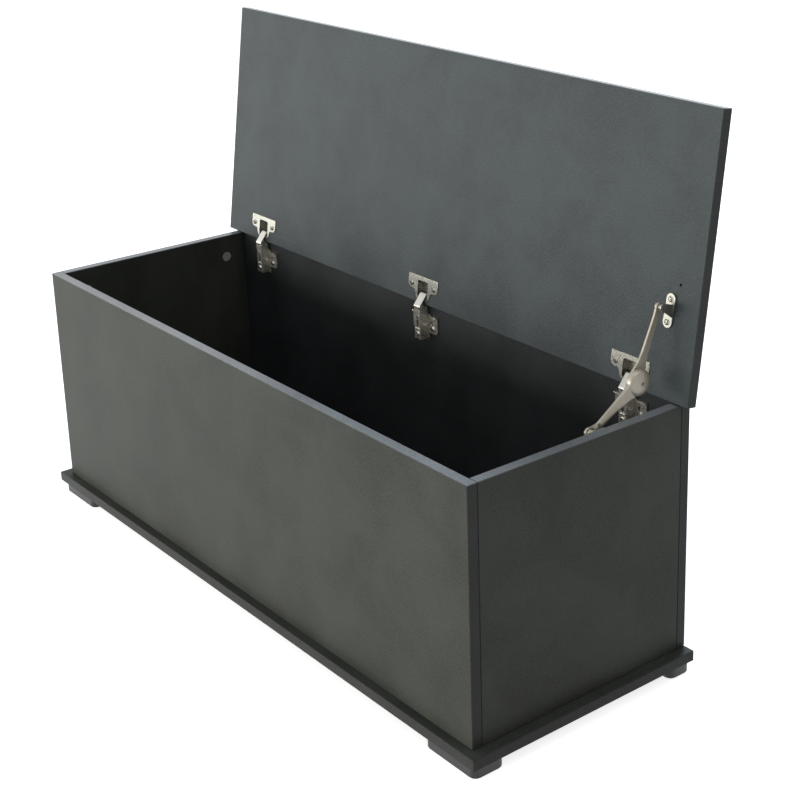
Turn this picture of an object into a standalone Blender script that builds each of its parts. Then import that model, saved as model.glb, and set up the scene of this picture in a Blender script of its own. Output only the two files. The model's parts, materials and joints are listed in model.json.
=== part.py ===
"""Storage chest: a long low box of melamine board on four corner feet, with a lid on three concealed hinges and a stay.

Lengths are in metres and angles in degrees. +X is the chest's right, +Y its back and +Z up. The lid stands open,
leaning a little past upright. The world origin is the middle of the bounding box's bottom. The mechanism is worked
out in the (y, z) plane, with y measured from the back panel's outer face and z from the rim.
"""

import math

import bmesh
import bpy
from mathutils import Matrix, Vector

# Boards
BOARD_THICKNESS = 0.014
BOX_LENGTH = 0.968
BOX_DEPTH = 0.338
BOX_HEIGHT = 0.323
BASE_FRONT_OVERHANG = 0.012
BASE_SIDE_OVERHANG = 0.016
LID_FRONT_OVERHANG = 0.012
LID_SIDE_OVERHANG = 0.016
BOARD_EDGE_RADIUS = 0.0008
SEAT_GAP = 0.0003

# Corner feet
FOOT_LENGTH = 0.090
FRONT_FOOT_DEPTH = 0.045
BACK_FOOT_DEPTH = 0.035
FOOT_HEIGHT = 0.016
FOOT_INSET = 0.005
BACK_FOOT_INSET = 0.0005
FOOT_CORNER_RADIUS = 0.009
FOOT_EDGE_RADIUS = 0.0012

# Lid positions: open at rest, and closed
LID_LEAN_DEG = 7.8
OPEN_INSET = 0.0074
RIM_CLEARANCE = 0.0003
CLOSED_GAP = 0.0018

# Cam locks, which draw each side panel's ends against the front and back panels
CAM_RADIUS = 0.0075
CAM_DEPTH = 0.0110
CAM_EDGE_DISTANCE = 0.034
CAM_LEVEL_MARGIN = 0.034
CAM_SLOT_WIDTH = 0.0014
CAM_SLOT_LENGTH = 0.0080
CAM_SLOT_DEPTH = 0.0016
BOLT_RADIUS = 0.0025
BOLT_HEAD_RADIUS = 0.0032
BOLT_HEAD_LENGTH = 0.0030
BOLT_THREAD_LENGTH = 0.0105
BOLT_BORE_CLEARANCE = 0.0005

# Hinges: the outer ones' distance from the box's ends, and the cup let into the lid
HINGE_INSET = 0.082
CUP_RADIUS = 0.0172
CUP_EDGE_DISTANCE = 0.0026
CUP_FLOOR_LEFT = 0.0022
CUP_WALL = 0.0012
CUP_RIM_RADIUS = 0.0180
CUP_CAVITY_HALF_WIDTH = 0.0113
CUP_CAVITY_BOTTOM = 0.0057
CUP_CAVITY_TOP = 0.0318
CUP_CAVITY_CORNER = 0.003
FLANGE_THICKNESS = 0.0008
FLANGE_HALF_WIDTH = 0.0320
FLANGE_TOP = 0.0378
FLANGE_BOTTOM = 0.0184
FLANGE_TOP_CORNER = 0.0012
FLANGE_BOTTOM_CORNER = 0.0065
RIM_JOIN_DEG = 2.0
CUP_SCREW_HALF_SPACING = 0.0240
CUP_SCREW_HEIGHT = 0.0248

# Hinge links and pins. A cup pin is placed by its distance from the lid's back edge and its depth in the lid
INNER_PIN_ALONG = 0.0080
INNER_PIN_DEPTH = 0.0025
INNER_LINK_LENGTH = 0.0133
INNER_LINK_WIDTH = 0.0072
OUTER_PIN_ALONG = 0.0110
OUTER_PIN_DEPTH = 0.0050
OUTER_LINK_LENGTH = 0.0178
OUTER_PLATE_WIDTH = 0.0130
OUTER_PLATE_THICKNESS = 0.0009
OUTER_CURL_DEG = 55.0
PIN_RADIUS = 0.0012
PIN_CLEARANCE = 0.0001
PIN_HEAD = 0.0004
INNER_EYE_RADIUS = 0.0022
CUP_EYE_RADIUS = 0.0018
BARREL_RADIUS = 0.0029
EAR_RADIUS = 0.0022

# Hinge arm, a channel on the back panel's inner side
ARM_WIDTH = 0.0130
ARM_SHEET = 0.0012
ARM_STAND_OFF = 0.0160
ARM_BOTTOM = 0.0475
ARM_FRONT_TOP = 0.0036
ARM_BACK_CLEARANCE = 0.0004
ARM_SHOULDER = 0.0140
ARM_SIDE_CLEARANCE = 0.0003
ADJUSTER_DROP = 0.0148
ADJUSTER_RADIUS = 0.0027
ARM_SLOT_TOP = 0.0215
ARM_SLOT_BOTTOM = 0.0305
ARM_SLOT_RADIUS = 0.0022
FIXING_DROP = 0.0398
FIXING_HOLE_RADIUS = 0.0023

# Hinge mounting plate
PLATE_THICKNESS = 0.0020
PLATE_HALF_WIDTH = 0.0268
PLATE_WING_TOP = 0.0140
PLATE_WING_BOTTOM = 0.0390
PLATE_WING_CORNER = 0.0045
PLATE_SPINE_HALF_WIDTH = 0.0080
PLATE_SPINE_TOP = 0.0120
PLATE_SPINE_BOTTOM = 0.0500
PLATE_CHANNEL_HALF_WIDTH = 0.0049
PLATE_CHANNEL_WALL = 0.0013
PLATE_CHANNEL_BOTTOM = 0.0465
PLATE_CHANNEL_GAP = 0.0004
PLATE_LIP_HEIGHT = 0.0030
PLATE_LIP_THICKNESS = 0.0013
PLATE_LIP_START = 0.0105
PLATE_SLOT_X = 0.0142
PLATE_SLOT_DROP = 0.0230
PLATE_SLOT_LENGTH = 0.0050
PLATE_SLOT_RADIUS = 0.0017
PLATE_SCREW_X = 0.0160
PLATE_SCREW_DROP = 0.0325

# Screws
CUP_SCREW = {"head_radius": 0.0033, "head_height": 0.0016, "shank_radius": 0.0016, "length": 0.0098}
PLATE_SCREW = {"head_radius": 0.0038, "head_height": 0.0019, "shank_radius": 0.0018, "length": 0.0125}
SCREW_HOLE_CLEARANCE = 0.0004
RECESS_ARM_WIDTH = 0.0009
RECESS_REACH_SHARE = 0.62
RECESS_DEPTH_SHARE = 0.6

# Lid stay at the right end. The side bracket's pin and the open stay's hub are placed from the back panel's outer
# face and the rim
STAY_PLANE_INSET = 0.0148
STAY_GAP = 0.0004
STAY_HUB_BACK = 0.0602
STAY_HUB_RISE = 0.0334
LOWER_PIN_BACK = 0.1375
LOWER_PIN_DROP = 0.0070
LOWER_ARM_THICKNESS = 0.0030
LOWER_EYE_RADIUS = 0.0060
LOWER_TANG_SHARE = 0.17
LOWER_TANG_DROP = 0.0037
UPPER_PIN_ALONG = 0.1130
UPPER_PIN_STAND_OFF = 0.0180
UPPER_ARM_THICKNESS = 0.0028
UPPER_EYE_RADIUS = 0.0052
STAY_ARM_HALF_WIDTH = 0.0041
HUB_RADIUS = 0.0164
HUB_PLATE_THICKNESS = 0.0042
HUB_CAP_RADIUS = 0.0160
HUB_CAP_HEIGHT = 0.0052
HUB_CAP_RIM = 0.0008
HUB_BACK_RADIUS = 0.0120
HUB_BACK_HEIGHT = 0.0024
HUB_SOCKET_RADIUS = 0.0026
HUB_SOCKET_DEPTH = 0.0016
STAY_PIN_RADIUS = 0.0026
STAY_EDGE_RADIUS = 0.0007
SIDE_BRACKET_LENGTH = 0.0340
SIDE_BRACKET_HEIGHT = 0.0125
SIDE_BRACKET_THICKNESS = 0.0020
SIDE_BRACKET_CORNER = 0.0050
SIDE_BRACKET_SCREW_REACH = 0.0108
SIDE_BOSS_RADIUS = 0.0048
STAY_SCREW_HOLE_RADIUS = 0.0020
LID_BRACKET_THICKNESS = 0.0020
LID_BRACKET_UPPER_SCREW = (0.0012, 0.1210)
LID_BRACKET_LOWER_SCREW = (-0.0008, 0.0930)
LID_BRACKET_WAIST = (0.0004, 0.1070)
LID_BRACKET_LOBE_RADIUS = 0.0070
LID_BRACKET_WAIST_RADIUS = 0.0062
LID_EAR_OFFSET = 0.0046
LID_EAR_THICKNESS = 0.0018
LID_EAR_RADIUS = 0.0052
LID_EAR_FOOT = (0.0990, 0.1150)
LID_SPACER_RADIUS = 0.0036
STAY_PIN_HEAD_RADIUS = 0.0042
STAY_PIN_HEAD_HEIGHT = 0.0014

# Fineness of round work
ARC_STEP_DEG = 30.0
CUP_SIDES = 24
CAM_SIDES = 14
PIN_SIDES = 12
HOLE_SIDES = 8
SCREW_STEPS = 8
HUB_STEPS = 20
WELD = 0.000001

# Finishes: colour, roughness and metallic value
FINISHES = {
    "board": ((0.060, 0.062, 0.058), 0.45, 0.0),
    "foot_plastic": ((0.012, 0.012, 0.012), 0.55, 0.0),
    "nickel": ((0.62, 0.60, 0.55), 0.28, 1.0),
    "satin_nickel": ((0.58, 0.55, 0.49), 0.38, 1.0),
    "screw_steel": ((0.60, 0.58, 0.54), 0.30, 1.0),
    "zinc": ((0.30, 0.30, 0.29), 0.45, 1.0),
}

# Sizes that follow from the driving ones
HINGE_PLACES = {
    "left": -BOX_LENGTH / 2 + HINGE_INSET,
    "middle": 0.0,
    "right": BOX_LENGTH / 2 - HINGE_INSET,
}
BASE_LENGTH = BOX_LENGTH + 2 * BASE_SIDE_OVERHANG
BASE_DEPTH = BOX_DEPTH + BASE_FRONT_OVERHANG
LID_LENGTH = BOX_LENGTH + 2 * LID_SIDE_OVERHANG
LID_DEPTH = BOX_DEPTH + LID_FRONT_OVERHANG
LEAN = math.radians(LID_LEAN_DEG)
INNER_BACK = -BOARD_THICKNESS
CUP_CENTRE = CUP_EDGE_DISTANCE + CUP_RADIUS
CUP_DEPTH = BOARD_THICKNESS - CUP_FLOOR_LEFT
CUP_CAVITY_RADIUS = CUP_RADIUS - CUP_WALL
ARM_FRONT = INNER_BACK - ARM_STAND_OFF
ARM_INNER_HALF_WIDTH = ARM_WIDTH / 2 - ARM_SHEET
PLATE_FRONT = INNER_BACK - SEAT_GAP - PLATE_THICKNESS
RIM_HEIGHT = FOOT_HEIGHT + SEAT_GAP + BOARD_THICKNESS + SEAT_GAP + BOX_HEIGHT


def direction(degrees):
    """The unit vector in the (y, z) plane, turned from +Y towards +Z."""
    turn = math.radians(degrees)
    return Vector((math.cos(turn), math.sin(turn)))


def heading(vector):
    """The angle of a (y, z) vector, turned from +Y towards +Z."""
    return math.degrees(math.atan2(vector.y, vector.x))


class LidPose:
    """The lid's inner back edge and the heading of its inner face, in the (y, z) plane."""

    def __init__(self, edge, angle):
        self.edge = Vector(edge)
        self.angle = angle

    def point(self, along, depth):
        """The place of a point on the lid: its distance from the back edge and its depth behind the inner face."""
        return self.edge + along * direction(self.angle) + depth * direction(self.angle - 90)


OPEN_RISE = BOARD_THICKNESS * math.sin(LEAN) + RIM_CLEARANCE
OPEN = LidPose((INNER_BACK - OPEN_INSET, OPEN_RISE), 90 - LID_LEAN_DEG)
CLOSED = LidPose((0.0, CLOSED_GAP), 180.0)
LID_REACH = OPEN.point(LID_DEPTH, BOARD_THICKNESS).x
BACK_Y = (BASE_DEPTH - LID_REACH) / 2


class Link:
    """A link from a fixed pivot to a pin in the lid, whose pivot lies equally far from the pin's two places."""

    def __init__(self, along, depth, length):
        self.length = length
        self.pin = OPEN.point(along, depth)
        closed_pin = CLOSED.point(along, depth)
        span = closed_pin - self.pin
        below = Vector((span.y, -span.x)).normalized()
        drop = math.sqrt(length**2 - (span.length / 2) ** 2)
        self.pivot = (self.pin + closed_pin) / 2 + (below if below.y < 0 else -below) * drop
        self.angle = heading(self.pin - self.pivot)
        self.turn = heading(closed_pin - self.pivot) - self.angle


class Stay:
    """The lengths and turns of the stay's two arms, from the pins at their ends and the open stay's hub."""

    def __init__(self):
        self.lower_pin = Vector((-LOWER_PIN_BACK, -LOWER_PIN_DROP))
        self.upper_pin = OPEN.point(UPPER_PIN_ALONG, -UPPER_PIN_STAND_OFF)
        self.hub = Vector((-STAY_HUB_BACK, STAY_HUB_RISE))
        self.lower_length = (self.hub - self.lower_pin).length
        self.upper_length = (self.hub - self.upper_pin).length
        closed_pin = CLOSED.point(UPPER_PIN_ALONG, -UPPER_PIN_STAND_OFF)
        closed_hub = self.folded_hub(closed_pin)
        self.lower_angle = heading(self.hub - self.lower_pin)
        self.upper_angle = heading(self.hub - self.upper_pin)
        self.lower_turn = self.turned(self.lower_angle, heading(closed_hub - self.lower_pin))
        lid_turn = CLOSED.angle - OPEN.angle
        self.upper_turn = self.turned(self.upper_angle, heading(closed_hub - closed_pin)) - lid_turn

    def folded_hub(self, upper_pin):
        """Where the two arms meet once the lid is closed, on the side of their pins' line that faces the floor."""
        line = upper_pin - self.lower_pin
        share = (self.lower_length**2 - self.upper_length**2 + line.length**2) / (2 * line.length)
        side = math.sqrt(self.lower_length**2 - share**2)
        unit = line.normalized()
        return self.lower_pin + share * unit + side * Vector((unit.y, -unit.x))

    @staticmethod
    def turned(start, end):
        """The turn from one heading to the other, taken clockwise as the hub drops into the box."""
        return -((start - end) % 360)


INNER_LINK = Link(INNER_PIN_ALONG, INNER_PIN_DEPTH, INNER_LINK_LENGTH)
OUTER_LINK = Link(OUTER_PIN_ALONG, OUTER_PIN_DEPTH, OUTER_LINK_LENGTH)
STAY = Stay()
SIDE_INNER_X = BOX_LENGTH / 2 - BOARD_THICKNESS
STAY_X = SIDE_INNER_X - STAY_PLANE_INSET


def clear_scene():
    """Removes every object of the startup scene."""
    for obj in list(bpy.data.objects):
        bpy.data.objects.remove(obj, do_unlink=True)


def make_collections():
    """The collection of the chest's pieces and the one of its cutters."""
    pieces = bpy.data.collections.new("storage_chest")
    cutters = bpy.data.collections.new("cutters")
    for collection in (pieces, cutters):
        bpy.context.scene.collection.children.link(collection)
    return pieces, cutters


def make_materials():
    """One Principled material for each finish."""
    materials = {}
    for name, (colour, roughness, metallic) in FINISHES.items():
        material = bpy.data.materials.new(name)
        material.use_nodes = True
        shader = material.node_tree.nodes["Principled BSDF"]
        shader.inputs["Base Color"].default_value = (*colour, 1.0)
        shader.inputs["Roughness"].default_value = roughness
        shader.inputs["Metallic"].default_value = metallic
        materials[name] = material
    return materials


clear_scene()
PIECES, CUTTERS = make_collections()
MATERIALS = make_materials()

# In this order a flat outline's x, y and thickness become world y, z and x
SIDEWAYS = Matrix(((0, 0, 1, 0), (1, 0, 0, 0), (0, 1, 0, 0), (0, 0, 0, 1)))
# And here they become world x, z and y, as on the lid's inner face and the back panel
FACEWAYS = Matrix(((1, 0, 0, 0), (0, 0, -1, 0), (0, 1, 0, 0), (0, 0, 0, 1)))


def arc(centre, radius, start, end):
    """Points along an arc in a plane, from one angle to the other, with both ends."""
    steps = max(1, math.ceil(abs(end - start) / ARC_STEP_DEG))
    turns = [start + (end - start) * step / steps for step in range(steps + 1)]
    return [Vector(centre) + radius * direction(turn) for turn in turns]


def circle(centre, radius, sides=24):
    """The points of a closed circle."""
    return [Vector(centre) + radius * direction(360 * step / sides) for step in range(sides)]


def rounded_rectangle(low, high, radius):
    """A rectangle with its four corners rounded alike."""
    (x0, y0), (x1, y1) = low, high
    corners = ((x1 - radius, y1 - radius), (x0 + radius, y1 - radius), (x0 + radius, y0 + radius), (x1 - radius, y0 + radius))
    outline = []
    for quarter, corner in enumerate(corners):
        outline += arc(corner, radius, 90 * quarter, 90 * quarter + 90)
    return outline


def strip(path, half_widths):
    """The outline of a strip that follows a path, as wide at each point as given, with round ends."""
    points = [Vector(point) for point in path]
    left, right = [], []
    for index, (point, half) in enumerate(zip(points, half_widths)):
        run = points[min(index + 1, len(points) - 1)] - points[max(index - 1, 0)]
        normal = Vector((-run.y, run.x)).normalized()
        left.append(point + normal * half)
        right.append(point - normal * half)
    first, last = heading(points[1] - points[0]), heading(points[-1] - points[-2])
    end_cap = arc(points[-1], half_widths[-1], last + 90, last - 90)
    start_cap = arc(points[0], half_widths[0], first + 270, first + 90)
    return left[1:-1] + end_cap + right[-2:0:-1] + start_cap


def outline_mesh(name, loops, low, high, turned):
    """A flat outline and its holes, filled and extruded from one level to the other, as a closed mesh."""
    curve = bpy.data.curves.new(name, "CURVE")
    curve.dimensions = "2D"
    curve.fill_mode = "BOTH"
    curve.extrude = (high - low) / 2
    for loop in loops:
        spline = curve.splines.new("POLY")
        spline.points.add(len(loop) - 1)
        for point, place in zip(spline.points, loop):
            point.co = (place[0], place[1], 0.0, 1.0)
        spline.use_cyclic_u = True
    guide = bpy.data.objects.new(name, curve)
    bpy.context.scene.collection.objects.link(guide)
    graph = bpy.context.evaluated_depsgraph_get()
    mesh = bpy.data.meshes.new_from_object(guide.evaluated_get(graph))
    bpy.data.objects.remove(guide, do_unlink=True)
    bpy.data.curves.remove(curve)
    shape = bmesh.new()
    shape.from_mesh(mesh)
    bmesh.ops.remove_doubles(shape, verts=shape.verts, dist=WELD)
    bmesh.ops.translate(shape, verts=shape.verts, vec=(0, 0, (low + high) / 2))
    bmesh.ops.transform(shape, verts=shape.verts, matrix=turned)
    bmesh.ops.recalc_face_normals(shape, faces=shape.faces)
    shape.to_mesh(mesh)
    shape.free()
    return mesh


def side_plate(name, loops, low_x, high_x):
    """A plate outlined in the (y, z) plane, between two places along X."""
    return outline_mesh(name, loops, low_x, high_x, SIDEWAYS)


def face_plate(name, loops, front, back):
    """A plate outlined in the (x, z) plane, between two places along Y."""
    return outline_mesh(name, loops, -back, -front, FACEWAYS)


def block_mesh(name, *boxes):
    """A mesh of one or more separate boxes, each given by its lowest and highest corners."""
    shape = bmesh.new()
    for low, high in boxes:
        low, high = Vector(low), Vector(high)
        size = high - low
        matrix = Matrix.Translation((low + high) / 2) @ Matrix.Diagonal((*size, 1.0))
        bmesh.ops.create_cube(shape, size=1.0, matrix=matrix)
    mesh = bpy.data.meshes.new(name)
    shape.to_mesh(mesh)
    shape.free()
    return mesh


def rod_mesh(name, *rods, sides=PIN_SIDES):
    """A mesh of one or more separate cylinders, each given by its two ends and its radius."""
    shape = bmesh.new()
    for start, end, radius in rods:
        start, end = Vector(start), Vector(end)
        line = end - start
        matrix = Matrix.Translation((start + end) / 2) @ line.to_track_quat("Z", "Y").to_matrix().to_4x4()
        bmesh.ops.create_cone(
            shape, cap_ends=True, segments=sides, radius1=radius, radius2=radius, depth=line.length, matrix=matrix
        )
    mesh = bpy.data.meshes.new(name)
    shape.to_mesh(mesh)
    shape.free()
    return mesh


def add_piece(name, mesh, finish, parent, location=(0, 0, 0), rotation=(0, 0, 0)):
    """A named piece of the chest, placed under its parent."""
    piece = bpy.data.objects.new(name, mesh)
    PIECES.objects.link(piece)
    piece.parent = parent
    piece.location = location
    piece.rotation_euler = rotation
    if not mesh.materials:
        mesh.materials.append(MATERIALS[finish])
    return piece


def add_cutter(name, mesh, parent=None):
    """A helper that cuts or joins other pieces and isn't one itself."""
    cutter = bpy.data.objects.new(name, mesh)
    CUTTERS.objects.link(cutter)
    cutter.parent = parent
    cutter.hide_render = True
    cutter.display_type = "WIRE"
    return cutter


def add_boolean(piece, cutter, operation="DIFFERENCE"):
    """Cuts the cutter from the piece, or joins it to the piece."""
    modifier = piece.modifiers.new(cutter.name, "BOOLEAN")
    modifier.operation = operation
    modifier.object = cutter


def add_bevel(piece, width, segments=2, limit=40):
    """Rounds a piece's sharp edges."""
    modifier = piece.modifiers.new("eased edges", "BEVEL")
    modifier.width = width
    modifier.segments = segments
    modifier.limit_method = "ANGLE"
    modifier.angle_limit = math.radians(limit)


def combined(name, base, *steps):
    """One mesh made from a base by cuts and unions in turn, each given as its operation and its mesh."""
    body = bpy.data.objects.new(name, base)
    CUTTERS.objects.link(body)
    helpers = []
    for operation, mesh in steps:
        helper = bpy.data.objects.new(f"{name}_{len(helpers)}", mesh)
        CUTTERS.objects.link(helper)
        add_boolean(body, helper, operation)
        helpers.append(helper)
    graph = bpy.context.evaluated_depsgraph_get()
    mesh = bpy.data.meshes.new_from_object(body.evaluated_get(graph))
    mesh.name = name
    mesh.materials.clear()
    for helper in [body, *helpers]:
        used = helper.data
        bpy.data.objects.remove(helper, do_unlink=True)
        bpy.data.meshes.remove(used)
    return mesh


def turned_mesh(name, profile, steps=SCREW_STEPS):
    """A solid turned about Z from its outer profile, which runs from the top of the axis to its bottom."""
    line = bpy.data.meshes.new(name)
    shape = bmesh.new()
    corners = [shape.verts.new((radius, 0.0, height)) for radius, height in profile]
    for upper, lower in zip(corners, corners[1:]):
        shape.edges.new((upper, lower))
    shape.to_mesh(line)
    shape.free()
    body = bpy.data.objects.new(name, line)
    CUTTERS.objects.link(body)
    screw = body.modifiers.new("turning", "SCREW")
    screw.steps = screw.render_steps = steps
    screw.use_merge_vertices = True
    screw.merge_threshold = WELD
    graph = bpy.context.evaluated_depsgraph_get()
    mesh = bpy.data.meshes.new_from_object(body.evaluated_get(graph))
    bpy.data.objects.remove(body, do_unlink=True)
    bpy.data.meshes.remove(line)
    mesh.name = name
    return mesh


def smoothed(mesh, angle=35):
    """Shades a mesh smooth but for its sharp edges."""
    mesh.shade_smooth()
    mesh.set_sharp_from_angle(angle=math.radians(angle))
    return mesh


def add_frame(name, parent, place, angle_deg=0.0, x=0.0):
    """An empty at a place in the (y, z) plane, with its own Y axis at the given heading."""
    frame = bpy.data.objects.new(name, None)
    PIECES.objects.link(frame)
    frame.empty_display_size = 0.02
    frame.parent = parent
    frame.location = (x, place[0], place[1])
    frame.rotation_euler = (math.radians(angle_deg), 0.0, 0.0)
    return frame


def add_board(name, low, high, parent):
    """A rectangular board with eased edges, from its lowest and highest corners."""
    piece = add_piece(name, block_mesh(name, (low, high)), "board", parent)
    add_bevel(piece, BOARD_EDGE_RADIUS, segments=1)
    return piece


def cam_places():
    """The name, end direction and level of each cam lock in one side panel."""
    bottom = -(BOX_HEIGHT - CAM_LEVEL_MARGIN)
    for end, sign in (("back", 1), ("front", -1)):
        for level, height in (("top", -CAM_LEVEL_MARGIN), ("bottom", bottom)):
            yield f"{end}_{level}", sign, height


def side_panel_end(sign):
    """The y place of a side panel's back (+1) or front (-1) end."""
    if sign > 0:
        return INNER_BACK - SEAT_GAP
    return -BOX_DEPTH + BOARD_THICKNESS + SEAT_GAP


def bolt_line(side, sign, height):
    """The bolt's mouth at the side panel's end and the cam's centre, in the middle of the board."""
    x = side * (BOX_LENGTH / 2 - BOARD_THICKNESS / 2)
    mouth = Vector((x, side_panel_end(sign), height))
    return mouth, mouth - Vector((0, sign * CAM_EDGE_DISTANCE, 0))


def cam_pocket(side, sign, height):
    """The pocket for a cam, bored from the side panel's inner face."""
    face = side * SIDE_INNER_X
    centre = bolt_line(side, sign, height)[1]
    start = Vector((face - side * BOARD_THICKNESS, centre.y, centre.z))
    end = Vector((face + side * (CAM_DEPTH + SEAT_GAP), centre.y, centre.z))
    return start, end, CAM_RADIUS + SEAT_GAP


def bolt_bore(side, sign, height):
    """The bore for a bolt, from the side panel's end to its cam."""
    mouth, centre = bolt_line(side, sign, height)
    return mouth + Vector((0, sign * BOLT_BORE_CLEARANCE, 0)), centre, BOLT_HEAD_RADIUS + BOLT_BORE_CLEARANCE


def bolt_seat(side, sign, height):
    """The blind hole for a bolt's thread, bored from the front or back panel's inner face."""
    mouth = bolt_line(side, sign, height)[0]
    start = mouth - Vector((0, sign * SEAT_GAP, 0))
    end = mouth + Vector((0, sign * (BOLT_THREAD_LENGTH + 2 * SEAT_GAP), 0))
    return start, end, BOLT_RADIUS + SEAT_GAP


def build_carcass(carcass):
    """The base, the four panels and the bores in them for the cam locks and the hinge plates' screws."""
    half = BOX_LENGTH / 2
    base_top = -BOX_HEIGHT - SEAT_GAP
    base_low = (-BASE_LENGTH / 2, -BASE_DEPTH, base_top - BOARD_THICKNESS)
    add_board("base_board", base_low, (BASE_LENGTH / 2, 0.0, base_top), carcass)
    front_back = -BOX_DEPTH + BOARD_THICKNESS
    front = add_board("front_panel", (-half, -BOX_DEPTH, -BOX_HEIGHT), (half, front_back, 0.0), carcass)
    back = add_board("back_panel", (-half, INNER_BACK, -BOX_HEIGHT), (half, 0.0, 0.0), carcass)
    for panel, sign in ((back, 1), (front, -1)):
        seats = [bolt_seat(side, s, h) for side in (-1, 1) for _, s, h in cam_places() if s == sign]
        add_boolean(panel, add_cutter(f"{panel.name}_bolt_seats", rod_mesh("bolt_seats", *seats, sides=HOLE_SIDES), carcass))
    screw_radius = PLATE_SCREW["shank_radius"] + SCREW_HOLE_CLEARANCE
    screw_end = PLATE_FRONT + PLATE_SCREW["length"] + SEAT_GAP
    holes = []
    for centre in HINGE_PLACES.values():
        for x in (centre - PLATE_SCREW_X, centre + PLATE_SCREW_X):
            start, end = (x, INNER_BACK - 2 * SEAT_GAP, -PLATE_SCREW_DROP), (x, screw_end, -PLATE_SCREW_DROP)
            holes.append((start, end, screw_radius))
    hole_mesh = rod_mesh("screw_holes", *holes, sides=HOLE_SIDES)
    add_boolean(back, add_cutter("back_panel_screw_holes", hole_mesh, carcass))
    for name, side in (("left", -1), ("right", 1)):
        xs = sorted((side * SIDE_INNER_X, side * half))
        low, high = (xs[0], side_panel_end(-1), -BOX_HEIGHT), (xs[1], side_panel_end(1), 0.0)
        panel = add_board(f"{name}_side_panel", low, high, carcass)
        pockets = [cam_pocket(side, s, h) for _, s, h in cam_places()]
        bores = [bolt_bore(side, s, h) for _, s, h in cam_places()]
        add_boolean(panel, add_cutter(f"{name}_cam_pockets", rod_mesh("pockets", *pockets, sides=CAM_SIDES), carcass))
        add_boolean(panel, add_cutter(f"{name}_bolt_bores", rod_mesh("bores", *bores, sides=HOLE_SIDES), carcass))


def cross_cuts(long_reach, short_reach, half_width, low, high):
    """The two cuts of a cross-shaped recess about Z, between two heights."""
    along = block_mesh("along", ((-long_reach, -half_width, low), (long_reach, half_width, high)))
    across = block_mesh("across", ((-half_width, -short_reach, low), (half_width, short_reach, high)))
    return ("DIFFERENCE", along), ("DIFFERENCE", across)


def cam_mesh():
    """A cam disc about Z with its slotted face upwards, hollowed from one side for the bolt's head."""
    half_slot = CAM_SLOT_LENGTH / 2
    profile = ((0.0, 0.0), (CAM_RADIUS, 0.0), (CAM_RADIUS, -CAM_DEPTH), (0.0, -CAM_DEPTH))
    cross = cross_cuts(half_slot, half_slot * 0.6, CAM_SLOT_WIDTH / 2, -CAM_SLOT_DEPTH, CAM_SLOT_DEPTH)
    bore_radius = BOLT_HEAD_RADIUS + BOLT_BORE_CLEARANCE
    depth = -BOARD_THICKNESS / 2
    bore = rod_mesh("bore", ((0, -BOLT_HEAD_LENGTH, depth), (0, 2 * CAM_RADIUS, depth), bore_radius))
    body = turned_mesh("cam", profile, CAM_SIDES)
    return smoothed(combined("cam_lock", body, *cross, ("DIFFERENCE", bore)))


def bolt_mesh():
    """A cam bolt about Z, with its head at the origin and its thread upwards."""
    thread_end = CAM_EDGE_DISTANCE + BOLT_THREAD_LENGTH
    neck = BOLT_RADIUS * 0.7
    profile = (
        (0.0, thread_end),
        (neck, thread_end),
        (BOLT_RADIUS, thread_end - neck / 2),
        (BOLT_RADIUS, BOLT_HEAD_LENGTH * 2),
        (neck, BOLT_HEAD_LENGTH * 2),
        (neck, BOLT_HEAD_LENGTH / 2),
        (BOLT_HEAD_RADIUS, BOLT_HEAD_LENGTH / 2),
        (BOLT_HEAD_RADIUS, -BOLT_HEAD_LENGTH / 2),
        (0.0, -BOLT_HEAD_LENGTH / 2),
    )
    return smoothed(turned_mesh("cam_bolt", profile))


def build_cam_locks(carcass):
    """Four cam discs in each side panel, and the bolts that they draw."""
    cam, bolt = cam_mesh(), bolt_mesh()
    for side_name, side in (("left", -1), ("right", 1)):
        for name, sign, height in cam_places():
            centre = bolt_line(side, sign, height)[1]
            # The cam's axis points into the box, and its hollow towards the panel's end
            facing = Matrix(((0, 0, -side), (0, sign, 0), (sign * side, 0, 0))).to_euler()
            location = (side * SIDE_INNER_X, centre.y, centre.z)
            add_piece(f"cam_lock_{side_name}_{name}", cam, "zinc", carcass, location, facing)
            lying = (math.radians(-90 * sign), 0.0, 0.0)
            add_piece(f"cam_bolt_{side_name}_{name}", bolt, "screw_steel", carcass, centre, lying)


def foot_mesh(depth):
    """One foot of the given depth: a low block with rounded upright corners."""
    half_length, half_depth = FOOT_LENGTH / 2, depth / 2
    outline = rounded_rectangle((-half_length, -half_depth), (half_length, half_depth), FOOT_CORNER_RADIUS)
    return outline_mesh("foot", [outline], 0.0, FOOT_HEIGHT, Matrix.Identity(4))


def build_feet(carcass):
    """Four feet under the base board's corners, the back pair shallower and flush with the back."""
    x = BASE_LENGTH / 2 - FOOT_INSET - FOOT_LENGTH / 2
    rows = {
        "front": (FRONT_FOOT_DEPTH, -BASE_DEPTH + FOOT_INSET + FRONT_FOOT_DEPTH / 2),
        "back": (BACK_FOOT_DEPTH, -BACK_FOOT_INSET - BACK_FOOT_DEPTH / 2),
    }
    for row, (depth, y) in rows.items():
        mesh = foot_mesh(depth)
        for side_name, side in (("left", -1), ("right", 1)):
            foot = add_piece(f"foot_{row}_{side_name}", mesh, "foot_plastic", carcass, (side * x, y, -RIM_HEIGHT))
            add_bevel(foot, FOOT_EDGE_RADIUS, segments=1, limit=60)


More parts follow.
